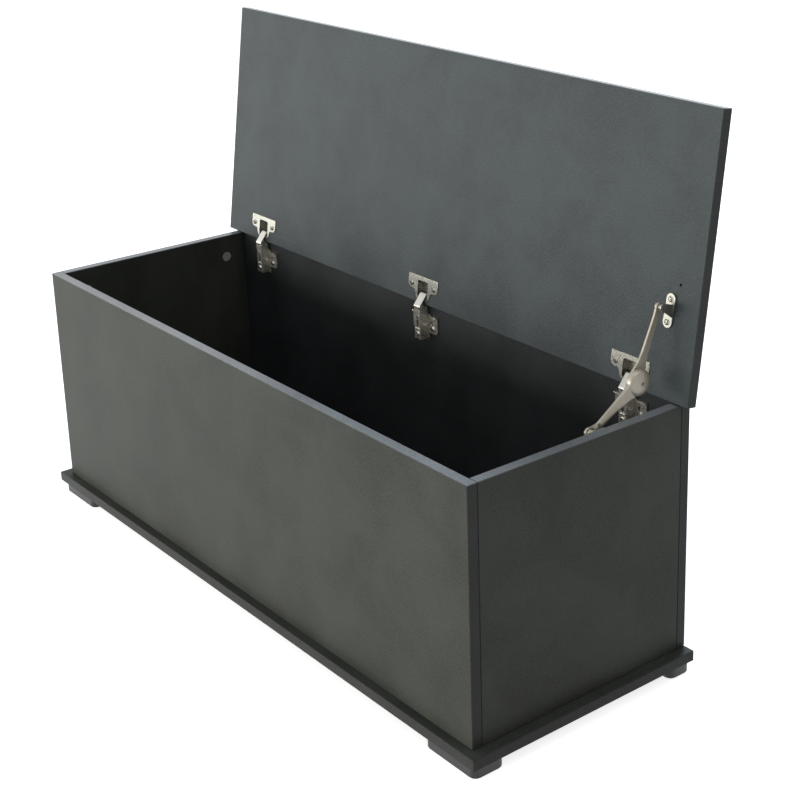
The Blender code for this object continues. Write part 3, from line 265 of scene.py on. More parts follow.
@cache
def fine_pebble() -> Tree:
    """Builds the melamine's fine pebbled texture.

    Returns:
        The group, which gives the texture's height and its small changes of tone.
    """
    group = Group("fine_pebble", Grain_Size=0.001)
    scale = group.per("Grain Size")
    noise = group.noise(group.place, scale, Roughness=0.6)
    wide = group.math("MULTIPLY", scale, 0.6)
    cells = group.add("TexVoronoi", {"feature": "SMOOTH_F1"}, Vector=group.place, Scale=wide, Smoothness=0.6)
    return group.close(
        Height=group.math("SUBTRACT", noise, cells.outputs["Distance"]),
        Tone=group.spread(noise),
    )


@cache
def board_edges() -> Tree:
    """Builds the masks at a board's edges.

    The distance to the nearest corner line is the middle one of the three distances to the board's sides.

    Returns:
        The group, which gives the worn corner, the edge tape, the seam beside it and the board's top edge.
    """
    group = Group(
        "board_edges",
        Half_Size=(1, 1, 1),
        Thickness_Axis=(0, 0, 1),
        Wear_Width=0.001,
        Tape_Thickness=0.0005,
    )
    given = group.given
    inset = group.vector("SUBTRACT", given["Half Size"], group.vector("ABSOLUTE", group.place))
    x, y, z = group.add("SeparateXYZ", Vector=inset).outputs
    lesser, greater = group.math("MINIMUM", x, y), group.math("MAXIMUM", x, y)
    nearest = group.math("MAXIMUM", lesser, group.math("MINIMUM", greater, z))
    depth = group.vector("DOT_PRODUCT", inset, given["Thickness Axis"])
    off_seam = group.math("ABSOLUTE", group.math("SUBTRACT", nearest, given["Tape Thickness"]))
    above_middle = group.math("GREATER_THAN", group.add("SeparateXYZ", Vector=group.place).outputs["Z"], 0.0)
    return group.close(
        Wear=group.ramp(group.math("DIVIDE", nearest, given["Wear Width"]), 0.0, 1.0, 1.0, 0.0),
        Tape=group.ramp(depth, 0.0002, 0.0006),
        Seam=group.ramp(off_seam, 0.00006, 0.00022, 1.0, 0.0),
        # Rim: the board's top edge, where the finish paints a highlight.
        Rim=group.math("MULTIPLY", group.math("LESS_THAN", z, 0.0007), above_middle),
    )


@cache
def scuffs() -> Tree:
    """Builds thin scratches in sparse patches.

    Returns:
        The group, which gives their mask.
    """
    group = Group("scuffs", Sparseness=0.62)
    masks = []
    for turn, stretch in (((0.3, 0.5, 0.2), (12, 480, 480)), ((-0.7, 0.9, 1.1), (420, 10, 420))):
        turned = group.add("Mapping", Vector=group.place, Rotation=turn).outputs[0]
        lines = group.noise(group.vector("MULTIPLY", turned, stretch), 1.0, 1.0, Distortion=0.2)
        masks.append(group.ramp(lines, 0.69, 0.77))
    above = group.math("SUBTRACT", group.noise(group.place, 5.0, 1.0), group.given["Sparseness"])
    patches = group.ramp(above, 0.0, 0.12)
    return group.close(Mask=group.math("MULTIPLY", group.math("MAXIMUM", *masks), patches))


@cache
def dust_specks() -> Tree:
    """Builds pale specks of dust and lint, a few to a hand's breadth.

    Returns:
        The group, which gives their mask.
    """
    group = Group("dust_specks", Spacing=0.012, Share=0.2)
    cells = group.add("TexVoronoi", Vector=group.place, Scale=group.per("Spacing")).outputs
    chance = group.add("SeparateColor", Color=cells["Color"]).outputs
    chosen = group.math("LESS_THAN", chance[0], group.given["Share"])
    reach = group.math("MULTIPLY_ADD", chance[1], 0.05, 0.02)
    speck = group.math("LESS_THAN", cells["Distance"], reach)
    return group.close(Mask=group.math("MULTIPLY", chosen, speck))


@cache
def handling() -> Tree:
    """Builds broad soft smudges left by hands and cloths.

    Returns:
        The group, which gives how much each place is darker or paler.
    """
    group = Group("handling", Size=0.12)
    smudges = group.noise(group.place, group.per("Size"), 4.0, Roughness=0.55, Distortion=0.3)
    return group.close(Smudge=group.spread(smudges))


@cache
def plating() -> Tree:
    """Builds plated metal's fine polishing grain and its patches of dulled plating.

    Returns:
        The group, which gives both.
    """
    group = Group("plating", Grain_Size=0.0004, Patch_Size=0.014)
    along = group.vector("MULTIPLY", group.place, (0.15, 1, 1))
    return group.close(
        Grain=group.spread(group.noise(along, group.per("Grain Size"))),
        Dulled=group.ramp(group.noise(group.place, group.per("Patch Size")), 0.35, 0.75),
    )


class MaterialTree(NodeTree):
    """The node tree of a new material."""

    def __init__(self, name: str) -> None:
        """Makes the material."""
        self.material = bpy.data.materials.new(name)
        self.material.use_nodes = True
        super().__init__(self.material.node_tree)
        self.shader = self.tree.nodes["Principled BSDF"]

    def paint(self, **inputs: object) -> None:
        """Fills inputs of the Principled node."""
        self.fill(self.shader, **inputs)

    def own_place(self) -> Socket:
        """A point's place in its piece."""
        return self.add("TexCoord").outputs["Object"]

    def bump(self, height: object, distance: float, strength: float = 1.0) -> Socket:
        """Turns a height into a change of the surface's direction."""
        return self.add("Bump", Height=height, Distance=distance, Strength=strength).outputs[0]


@dataclass(frozen=True)
class BoardFinish:
    """Dark melamine facing with a fine pebbled texture, and smoother edge tape; the rims' paler colour is a
    painted highlight of the light from above, under a clear coat.
    """

    face: Colour = (0.0430, 0.0450, 0.0385)
    tape: Colour = (0.031, 0.031, 0.029)
    # The rims' colour, paler than the tape: a painted highlight where the top edges face the light.
    rim: Colour = (0.160, 0.168, 0.176)
    seam: Colour = (0.010, 0.010, 0.010)
    mark: Colour = (0.20, 0.21, 0.21)
    shine: float = 0.10
    face_roughness: float = 0.44
    tape_roughness: float = 0.38
    smudge_roughness: float = 0.045
    rim_coat: float = 0.8
    rim_coat_roughness: float = 0.30
    grain_size: float = 0.0018
    grain_depth: float = 0.00010
    tape_relief: float = 0.35
    tone_change: float = 0.22
    smudge_change: float = 0.20
    seam_strength: float = 0.7
    scuff_strength: float = 0.07
    dust_strength: float = 0.6
    wear_strength: float = 0.12
    wear_width: float = 0.0016
    tape_thickness: float = 0.0006

    def look(self, board: Board) -> Look:
        """Makes the look of one board.

        Args:
            board: the board, whose centre, tilt and size place the edge tape and its seam.

        Returns:
            The look.
        """
        tree = MaterialTree(f"melamine_{board.node}")
        upright = {"Location": -(board.upright() @ board.centre), "Rotation": (-board.tilt, 0.0, 0.0)}
        place = tree.add("Mapping", Vector=tree.own_place(), **upright).outputs[0]
        grain = tree.group(fine_pebble(), Vector=place, Grain_Size=self.grain_size)
        edges = tree.group(
            board_edges(),
            Vector=place,
            Half_Size=board.half_size,
            Thickness_Axis=board.thickness_axis,
            Wear_Width=self.wear_width,
            Tape_Thickness=self.tape_thickness,
        )
        smudge = tree.group(handling(), Vector=place)["Smudge"]
        colour = tree.mixed(edges["Tape"], self.face, self.tape)
        if not board.thickness_axis.z:
            # The rims' paler colour is a painted highlight of the light from above; their coat is a real
            # clear gloss.
            colour = tree.mixed(edges["Rim"], colour, self.rim)
            coat = tree.math("MULTIPLY", edges["Rim"], self.rim_coat)
            tree.paint(Coat_Weight=coat, Coat_Roughness=self.rim_coat_roughness)
        tone = tree.math("MULTIPLY_ADD", grain["Tone"], self.tone_change, 1.0)
        tone = tree.math("MULTIPLY_ADD", smudge, self.smudge_change, tone)
        seam = tree.math("MULTIPLY", edges["Seam"], self.seam_strength)
        colour = tree.mixed(seam, tree.vector("SCALE", colour, tone), self.seam)
        marks = tree.math("MULTIPLY", tree.group(scuffs(), Vector=place)["Mask"], self.scuff_strength)
        dust = tree.group(dust_specks(), Vector=place)["Mask"]
        for mask, strength in ((dust, self.dust_strength), (edges["Wear"], self.wear_strength)):
            marks = tree.math("MAXIMUM", marks, tree.math("MULTIPLY", mask, strength))
        rough = tree.ramp(edges["Tape"], 0.0, 1.0, self.face_roughness, self.tape_roughness)
        relief = tree.ramp(edges["Tape"], 0.0, 1.0, 1.0, self.tape_relief)
        height = tree.math("SUBTRACT", tree.math("MULTIPLY", grain["Height"], relief), edges["Seam"])
        tree.paint(
            Base_Color=tree.mixed(marks, colour, self.mark),
            Roughness=tree.math("MULTIPLY_ADD", smudge, self.smudge_roughness, rough),
            Specular_IOR_Level=self.shine,
            Normal=tree.bump(height, self.grain_depth),
        )
        return Look(tree.material, Slot.BOARD)


@dataclass(frozen=True)
class MetalFinish:
    """A plated or cast metal."""

    name: str
    slot: Slot
    colour: Colour
    dulled: Colour
    roughness: float
    metallic: float
    coat: float = 0.0
    coat_roughness: float = 0.14
    grain_size: float = 0.0004
    grain_depth: float = 0.0000015
    grain_strength: float = 0.6
    grain_roughness: float = 0.03
    dulled_share: float = 0.25
    dulled_roughness: float = 0.12

    @cached_property
    def look(self) -> Look:
        """The metal's look, made when it is first asked for.

        Returns:
            The look.
        """
        tree = MaterialTree(self.name)
        plated = tree.group(plating(), Vector=tree.own_place(), Grain_Size=self.grain_size)
        dulled = tree.math("MULTIPLY", plated["Dulled"], self.dulled_share)
        rough = tree.math("MULTIPLY_ADD", plated["Grain"], self.grain_roughness, self.roughness)
        tree.paint(
            Base_Color=tree.mixed(dulled, self.colour, self.dulled),
            Metallic=self.metallic,
            Coat_Weight=self.coat,
            Coat_Roughness=self.coat_roughness,
            Roughness=tree.math("MULTIPLY_ADD", dulled, self.dulled_roughness, rough),
            Normal=tree.bump(plated["Grain"], self.grain_depth, self.grain_strength),
        )
        return Look(tree.material, self.slot)


@dataclass(frozen=True)
class PlasticFinish:
    """Moulded plastic with a fine matt grain."""

    name: str
    slot: Slot
    colour: Colour
    scuffed: Colour
    roughness: float
    grain_size: float = 0.0005
    grain_depth: float = 0.00003
    grain_roughness: float = 0.05
    scuff_sparseness: float = 0.5
    scuff_strength: float = 0.5

    @cached_property
    def look(self) -> Look:
        """The plastic's look, made when it is first asked for.

        Returns:
            The look.
        """
        tree = MaterialTree(self.name)
        place = tree.own_place()
        grain = tree.group(fine_pebble(), Vector=place, Grain_Size=self.grain_size)
        scratches = tree.group(scuffs(), Vector=place, Sparseness=self.scuff_sparseness)
        marks = tree.math("MULTIPLY", scratches["Mask"], self.scuff_strength)
        tree.paint(
            Base_Color=tree.mixed(marks, self.colour, self.scuffed),
            Roughness=tree.math("MULTIPLY_ADD", grain["Tone"], self.grain_roughness, self.roughness),
            Normal=tree.bump(grain["Height"], self.grain_depth),
        )
        return Look(tree.material, self.slot)


# One melamine in lit and shaded copies: the lid's paler, cooler face and tape are painted light, and the back
# panel's darker, cooler face is painted shade.
LIT_AND_SHADED_BOARD_FINISHES = {
    "lid_panel": BoardFinish(face=(0.0475, 0.0555, 0.0600), tape=(0.035, 0.037, 0.036), scuff_strength=0.06),
    "back_panel": BoardFinish(face=(0.0350, 0.0375, 0.0390)),
}
NICKEL = MetalFinish("bright_nickel", Slot.NICKEL, (0.80, 0.77, 0.69), (0.56, 0.53, 0.46), 0.25, 0.82)
CUP_NICKEL = MetalFinish("cup_nickel", Slot.NICKEL, (0.31, 0.30, 0.27), (0.22, 0.21, 0.18), 0.25, 0.95)
LINK_METAL = MetalFinish("link_nickel", Slot.NICKEL, (0.46, 0.45, 0.42), (0.36, 0.35, 0.32), 0.32, 0.75, 0.3)
GLOSSY = MetalFinish("polished_nickel", Slot.SATIN, (0.27, 0.26, 0.225), (0.20, 0.19, 0.16), 0.34, 0.85, 0.3)
SATIN = MetalFinish("satin_nickel", Slot.SATIN, (0.32, 0.285, 0.23), (0.26, 0.23, 0.18), 0.46, 0.50, 0.7)
SCREW_STEEL = MetalFinish("screw_steel", Slot.SCREW, (0.56, 0.54, 0.49), (0.42, 0.40, 0.35), 0.26, 0.90)
# Painted shade: a dark material for the screws' crosses and rings, standing in for the shade inside these
# recesses.
PAINTED_RECESS_SHADE = MetalFinish("recess_painted_shade", Slot.SCREW, (0.050, 0.046, 0.040), (0.030, 0.028, 0.024), 0.60, 0.20)
ZINC = MetalFinish(
    "cast_zinc", Slot.ZINC, (0.42, 0.42, 0.42), (0.28, 0.28, 0.28), 0.50, 0.50, grain_depth=0.00002
)
FOOT_PLASTIC = PlasticFinish("foot_plastic", Slot.FOOT, (0.010, 0.010, 0.011), (0.06, 0.06, 0.06), 0.36)


def node_copy(frame: dict, node: str) -> Shape:
    """Copies a CAD node's mesh, with its loose triangles merged and its flat areas made whole.

    Args:
        frame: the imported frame.
        node: the node's name.

    Returns:
        The copy.
    """
    shape = bmesh.new()
    shape.from_mesh(frame["nodes"][node].data)
    bmesh.ops.remove_doubles(shape, verts=shape.verts, dist=MERGE_DISTANCE)
    bmesh.ops.dissolve_limit(shape, angle_limit=FLAT_ANGLE, verts=shape.verts, edges=shape.edges)
    return shape


def ease_edges(shape: Shape, width: float, sharper_than_deg: float = 35.0, longer_than: float = 0.0) -> None:
    """Rounds a shape's sharp outer edges.

    Args:
        shape: the shape, which is changed.
        width: the width of the rounding.
        sharper_than_deg: the least angle between two faces for their edge to count as sharp.
        longer_than: edges up to this length stay sharp.
    """
    limit = math.radians(sharper_than_deg)
    sharp = [
        edge
        for edge in shape.edges
        if len(edge.link_faces) == 2
        and edge.is_convex
        and edge.calc_face_angle(0.0) > limit
        and edge.calc_length() > longer_than
    ]
    round_off = {"segments": 2, "profile": 0.5, "affect": "EDGES", "clamp_overlap": True, "material": -1}
    bmesh.ops.bevel(shape, geom=sharp, offset=width, **round_off)


def keep_result(piece: Piece) -> None:
    """Replaces a piece's mesh by what its modifiers make of it, and drops the modifiers.

    Args:
        piece: the piece.
    """
    bpy.context.view_layer.update()
    graph = bpy.context.evaluated_depsgraph_get()
    result = bpy.data.meshes.new_from_object(piece.evaluated_get(graph))
    old = piece.data
    piece.modifiers.clear()
    piece.data = result
    bpy.data.meshes.remove(old)
    result.name = piece.name


def shade(piece: Piece, smooth_deg: float = 32.0) -> None:
    """Shades a piece smooth below an angle, with its flat faces kept flat beside narrow roundings.

    Args:
        piece: the piece.
        smooth_deg: the angle above which an edge is drawn sharp.
    """
    piece.data.shade_smooth()
    piece.data.set_sharp_from_angle(angle=math.radians(smooth_deg))
    weighted = piece.modifiers.new("flat_faces", "WEIGHTED_NORMAL")
    weighted.mode = "FACE_AREA"
    weighted.keep_sharp = True
    keep_result(piece)


def add_mesh(shape: Shape, name: str) -> Piece:
    """Makes a shape into an object of the scene.

    Args:
        shape: the shape, which is freed.
        name: the object's name.

    Returns:
        The object.
    """
    mesh = bpy.data.meshes.new(name)
    shape.to_mesh(mesh)
    shape.free()
    made = bpy.data.objects.new(name, mesh)
    bpy.context.scene.collection.objects.link(made)
    return made


def finish_piece(shape: Shape, name: str, look: Look, body: Body) -> Piece:
    """Makes a shape into a piece that rides on a body.

    Args:
        shape: the shape, in the row frame, which is freed.
        name: the piece's name.
        look: its look.
        body: the body it rides on.

    Returns:
        The piece.
    """
    piece = add_mesh(shape, name)
    piece.data.materials.append(look.material)
    shade(piece)
    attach(piece, body.value)
    LOG.info("%s made", name)
    return piece


def dress_node(frame: dict, node: str, look: Look, body: Body, rounding: float) -> Piece:
    """Makes a finished piece with eased edges in place of a CAD node.

    Args:
        frame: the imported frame.
        node: the node's name.
        look: the piece's look.
        body: the body it rides on.
        rounding: the width of its rounded edges.

    Returns:
        The piece.
    """
    shape = node_copy(frame, node)
    ease_edges(shape, rounding)
    piece = finish_piece(shape, f"dressed_{node}", look, body)
    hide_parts(node)
    return piece


def facing(direction: Vector) -> Matrix:
    """The turn that brings +Z round to a direction."""
    return UP.rotation_difference(direction).to_matrix().to_4x4()


def turned_shape(profile: list[tuple[float, float]], sides: int) -> Shape:
    """Turns a profile of radii and heights round Z into a closed shape.

    Args:
        profile: the profile from its top on the axis to its bottom on the axis.
        sides: the number of steps round.

    Returns:
        The shape.
    """
    shape = bmesh.new()
    verts = [shape.verts.new((reach, 0.0, level)) for reach, level in profile]
    edges = [shape.edges.new(pair) for pair in zip(verts, verts[1:])]
    turn = {"cent": (0, 0, 0), "axis": (0, 0, 1), "angle": math.tau, "steps": sides}
    bmesh.ops.spin(shape, geom=verts + edges, use_merge=True, **turn)
    bmesh.ops.remove_doubles(shape, verts=shape.verts, dist=MERGE_DISTANCE)
    bmesh.ops.recalc_face_normals(shape, faces=shape.faces)
    return shape


def rod(start: Vector, end: Vector, radius: float, sides: int = 28) -> Shape:
    """A round rod between two points.

    Args:
        start: the middle of one end.
        end: the middle of the other end.
        radius: its radius.
        sides: the number of its sides.

    Returns:
        The rod.
    """
    shape = bmesh.new()
    along = end - start
    size = {"radius1": radius, "radius2": radius, "depth": along.length}
    place = Matrix.Translation((start + end) / 2) @ facing(along)
    bmesh.ops.create_cone(shape, cap_ends=True, segments=sides, matrix=place, **size)
    return shape


def block(centre: Point, size: Point, rounding: float) -> Shape:
    """A block with rounded edges.

    Args:
        centre: its middle.
        size: its size along each axis.
        rounding: the width of its rounded edges.

    Returns:
        The block.
    """
    shape = bmesh.new()
    matrix = Matrix.Translation(centre) @ Matrix.Diagonal((*size, 1.0))
    bmesh.ops.create_cube(shape, size=1.0, matrix=matrix)
    ease_edges(shape, rounding)
    return shape


def cut_from(piece: Piece, cutter: Shape, operation: str = "DIFFERENCE") -> None:
    """Cuts a shape out of a piece, or joins one to it, and keeps only the result.

    Args:
        piece: the piece, whose mesh is replaced.
        cutter: the other shape, which is freed.
        operation: the Boolean modifier's operation.
    """
    helper = add_mesh(cutter, "cutter")
    mesh = helper.data
    modifier = piece.modifiers.new("cut", "BOOLEAN")
    modifier.operation = operation
    modifier.use_self = operation == "DIFFERENCE"
    modifier.object = helper
    keep_result(piece)
    bpy.data.objects.remove(helper, do_unlink=True)
    bpy.data.meshes.remove(mesh)


@dataclass
class Board:
    """One board of the chest, with the centre, tilt and size of its CAD node."""

    node: str
    body: Body
    centre: Vector = field(init=False)
    half_size: Vector = field(init=False)
    thickness_axis: Vector = field(init=False)
    tilt: float = field(init=False, default=0.0)
    edge_rounding: float = 0.0006
    rounded_from_deg: float = 80.0

    def upright(self) -> Matrix:
        """The turn that takes out the board's tilt."""
        return Matrix.Rotation(-self.tilt, 3, "X")

    def measure(self, shape: Shape) -> None:
        """Works out the board's centre, tilt and size.

        Args:
            shape: a copy of its node's mesh.
        """
        normal = max(shape.faces, key=lambda face: face.calc_area()).normal
        axis = max(range(3), key=lambda index: abs(normal[index]))
        self.thickness_axis = Vector([float(index == axis) for index in range(3)])
        if axis:
            self.tilt = math.atan(normal.z / normal.y) if axis == 1 else -math.atan(normal.y / normal.z)
        turned = [self.upright() @ vert.co for vert in shape.verts]
        low, high = (Vector([end(levels) for levels in zip(*turned)]) for end in (min, max))
        self.centre = self.upright().inverted() @ ((low + high) / 2)
        self.half_size = (high - low) / 2

    def place(self, x: float, along: float, out: float) -> Vector:
        """A point given in the board's own terms, for the tilted lid.

        Args:
            x: the place across the chest.
            along: the distance up the board from its lower edge.
            out: the distance in front of its front face.

        Returns:
            The point in the row frame.
        """
        local = Vector((0.0, -self.half_size.y - out, -self.half_size.z + along))
        turned = Matrix.Rotation(self.tilt, 3, "X") @ local
        return Vector((x, self.centre.y + turned.y, self.centre.z + turned.z))

    def outward(self) -> Vector:
        """The direction that the board's front face looks in."""
        return (self.place(0, 0, 1) - self.place(0, 0, 0)).normalized()

    def dress(self, frame: dict, finish: BoardFinish) -> Piece:
        """Makes the board's finished piece in place of its node.

        Args:
            frame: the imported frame.
            finish: the board's finish.

        Returns:
            The piece.
        """
        shape = node_copy(frame, self.node)
        self.measure(shape)
        ease_edges(shape, self.edge_rounding, self.rounded_from_deg, longer_than=4 * BORE_WIDTH)
        piece = finish_piece(shape, f"dressed_{self.node}", finish.look(self), self.body)
        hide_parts(self.node)
        return piece


@dataclass(frozen=True)
class ScrewHead:
    """A small domed screw head with a cross recess, and with a ring and a shank where they are given."""

    radius: float
    height: float
    recess_reach: float = 0.64
    recess_width: float = 0.0011
    recess_depth: float = 0.0013
    ring_depth: float = 0.0
    shank_radius: float = 0.0
    shank_length: float = 0.0
    sides: int = 24

    def head(self) -> Shape:
        """Models the head with the middle of its underside at the origin, facing +Z.

        Returns:
            The head, with its shank.
        """
        profile = [(0.0, self.height), (self.radius * 0.50, self.height * 0.98)]
        if self.ring_depth:
            low = self.height - self.ring_depth
            profile += [(self.radius * 0.56, low), (self.radius * 0.80, low)]
        profile += [(self.radius * 0.86, self.height * 0.84), (self.radius * 0.97, self.height * 0.42)]
        profile.append((self.radius, 0.0))
        if self.shank_length:
            profile += [(self.shank_radius, 0.0), (self.shank_radius, -0.86 * self.shank_length)]
        profile.append((0.0, -self.shank_length))
        return turned_shape(profile, self.sides)

    def cross(self) -> Shape:
        """Models the cross that is sunk in the head, in the same place.

        Returns:
            Two crossed bars, to be cut from the head.
        """
        shape = bmesh.new()
        long, thin = 2 * self.radius * self.recess_reach, self.recess_width
        for across, along in ((long, thin), (thin, long)):
            size = Matrix.Diagonal((across, along, 2 * self.recess_depth, 1.0))
            bmesh.ops.create_cube(shape, size=1.0, matrix=Matrix.Translation((0, 0, self.height)) @ size)
        return shape

    def is_sunk(self, place: Vector, outward: Vector) -> bool:
        """Whether a face lies in the head's cross or ring, where a dark material paints the shade of the
        recess.

        Args:
            place: the middle of the face from the head's seat.
            outward: the direction that the head faces.

        Returns:
            Whether it does.
        """
        level = place.dot(outward)
        reach = (place - outward * level).length
        return self.height * 0.02 < level < self.height * 0.95 and reach < self.radius * 0.83

    def add(
        self, name: str, seat: Vector, outward: Vector, turn_deg: float = 20.0, body: Body = Body.CARCASS
    ) -> Piece:
        """Adds one such screw to the object.

        Args:
            name: the piece's name.
            seat: the middle of the head's underside.
            outward: the direction that it faces.
            turn_deg: how far its cross is turned.
            body: the body it rides on.

        Returns:
            The screw.
        """
        stand = Matrix.Translation(seat) @ facing(outward)
        head, cross = self.head(), self.cross()
        head.transform(stand)
        cross.transform(stand @ Matrix.Rotation(math.radians(turn_deg), 4, "Z"))
        screw = finish_piece(head, name, SCREW_STEEL.look, body)
        cut_from(screw, cross)
        shade(screw)
        # The cross and the ring take the dark material: painted shade in the recesses.
        screw.data.materials.append(PAINTED_RECESS_SHADE.look.material)
        for polygon in screw.data.polygons:
            if self.is_sunk(polygon.center - seat, outward):
                polygon.material_index = 1
        return screw

    def replace(self, frame: dict, node: str, outward: Vector, turn_deg: float, body: Body) -> None:
        """Puts such a screw in the place of a plainer CAD one.

        Args:
            frame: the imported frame.
            node: the CAD screw's node.
            outward: the direction that its head faces.
            turn_deg: how far its cross is turned.
            body: the body it rides on.
        """
        places = [vert.co for vert in frame["nodes"][node].data.vertices]
        top = max(place.dot(outward) for place in places)
        rim = [place for place in places if place.dot(outward) > top - self.height * 0.1]
        centre = sum(rim, Vector()) / len(rim)
        seat = centre + outward * (top - self.height - centre.dot(outward))
        screw = self.add(f"dressed_{node}", seat, outward, turn_deg, body)
        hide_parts(node)


@dataclass
class Hinge:
    """One of the concealed hinges."""

    place: HingePlace
    edge_rounding: float = 0.00022
    sheet: float = 0.0012
    fixing_head: ScrewHead = ScrewHead(0.0036, 0.0018)
    fixing_drop: float = 0.0398
    adjuster_head: ScrewHead = ScrewHead(0.0025, 0.0010, recess_reach=0.62, recess_depth=0.0007)
    adjuster_drop: float = 0.0152
    adjuster_sink: float = 0.00048
    adjuster_turn: float = 45.0
    cup_screw: ScrewHead = ScrewHead(
        0.0033, 0.0016, ring_depth=0.0006, shank_radius=0.0016, shank_length=0.0098
    )
    plate_screw: ScrewHead = ScrewHead(
        0.0038, 0.0019, ring_depth=0.0006, shank_radius=0.0018, shank_length=0.0125
    )
    cup_screw_turns: tuple[float, float] = (38.0, 12.0)
    plate_screw_turns: tuple[float, float] = (63.0, 37.0)
    window_half_width: float = 0.0026
    window_drops: tuple[float, float] = (0.0205, 0.0305)
    window_depth: float = 0.0060
    window_rounding: float = 0.00104
    bar_drop: float = 0.0325
    bar_half_width: float = 0.0042
    bar_half_height: float = 0.0008
    bar_rise: float = 0.0007
    bar_rounding: float = 0.00035
    notch_radius: float = 0.0024

    def dress(self, frame: dict, lid: Board) -> None:
        """Makes the hinge's finished pieces.

        Args:
            frame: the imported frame.
            lid: the lid board, which carries the cup.
        """
        parts = {
            "plate": (Body.CARCASS, NICKEL),
            "arm": (Body.CARCASS, NICKEL),
            "inner_link": (Body.INNER_LINKS, NICKEL),
            "outer_link": (Body.OUTER_LINKS, LINK_METAL),
            "cup": (Body.LID, CUP_NICKEL),
        }
        for part, (body, metal) in parts.items():
            node = f"hinge_{part}_{self.place.value}"
            piece = dress_node(frame, node, metal.look, body, self.edge_rounding)
            if part in ("plate", "arm"):
                self.cut_window(piece)
            if part == "arm":
                self.finish_front(piece)
        self.add_arm_screws()
        for number, turns in enumerate(zip(self.cup_screw_turns, self.plate_screw_turns), start=1):
            end = f"{self.place.value}_{number}"
            self.cup_screw.replace(frame, f"cup_screw_{end}", lid.outward(), turns[0], Body.LID)
            self.plate_screw.replace(frame, f"plate_screw_{end}", FORWARD, turns[1], Body.CARCASS)

    def arm_front(self) -> Point:
        """The arm's middle across the chest, the depth of its front face and the height of the box's rim."""
        low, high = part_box(f"hinge_arm_{self.place.value}")
        return (low[0] + high[0]) / 2, low[1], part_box("back_panel")[1][2]

    def cut_window(self, piece: Piece) -> None:
        """Cuts the arm's window through a piece of the hinge, so that it looks dark.

        Args:
            piece: the arm's or the mounting plate's piece.
        """
        x, front, rim = self.arm_front()
        top, bottom = (rim - drop for drop in self.window_drops)
        centre = (x, front + self.window_depth / 2 - self.sheet, (top + bottom) / 2)
        size = (2 * self.window_half_width, self.window_depth, top - bottom)
        cut_from(piece, block(centre, size, self.window_rounding))
        shade(piece)

    def finish_front(self, piece: Piece) -> None:
        """Adds the pressed bar below the arm's window, and cuts the notch in the arm's end.

        Args:
            piece: the arm's piece.
        """
        x, front, rim = self.arm_front()
        size = (2 * self.bar_half_width, 2 * self.bar_rise, 2 * self.bar_half_height)
        cut_from(piece, block((x, front, rim - self.bar_drop), size, self.bar_rounding), "UNION")
        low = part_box(f"hinge_arm_{self.place.value}")[0][2]
        ahead, behind = Vector((x, front - self.sheet, low)), Vector((x, front + 2 * self.sheet, low))
        cut_from(piece, rod(ahead, behind, self.notch_radius, sides=20))
        shade(piece)

    def add_arm_screws(self) -> None:
        """Adds the arm's fixing screw and its adjusting screw."""
        x, front, rim = self.arm_front()
        seat = Vector((x, front, rim - self.fixing_drop))
        self.fixing_head.add(f"arm_fixing_screw_{self.place.value}", seat, FORWARD)
        seat = Vector((x, front + self.adjuster_sink, rim - self.adjuster_drop))
        name = f"arm_adjusting_screw_{self.place.value}"
        self.adjuster_head.add(name, seat, FORWARD, self.adjuster_turn)


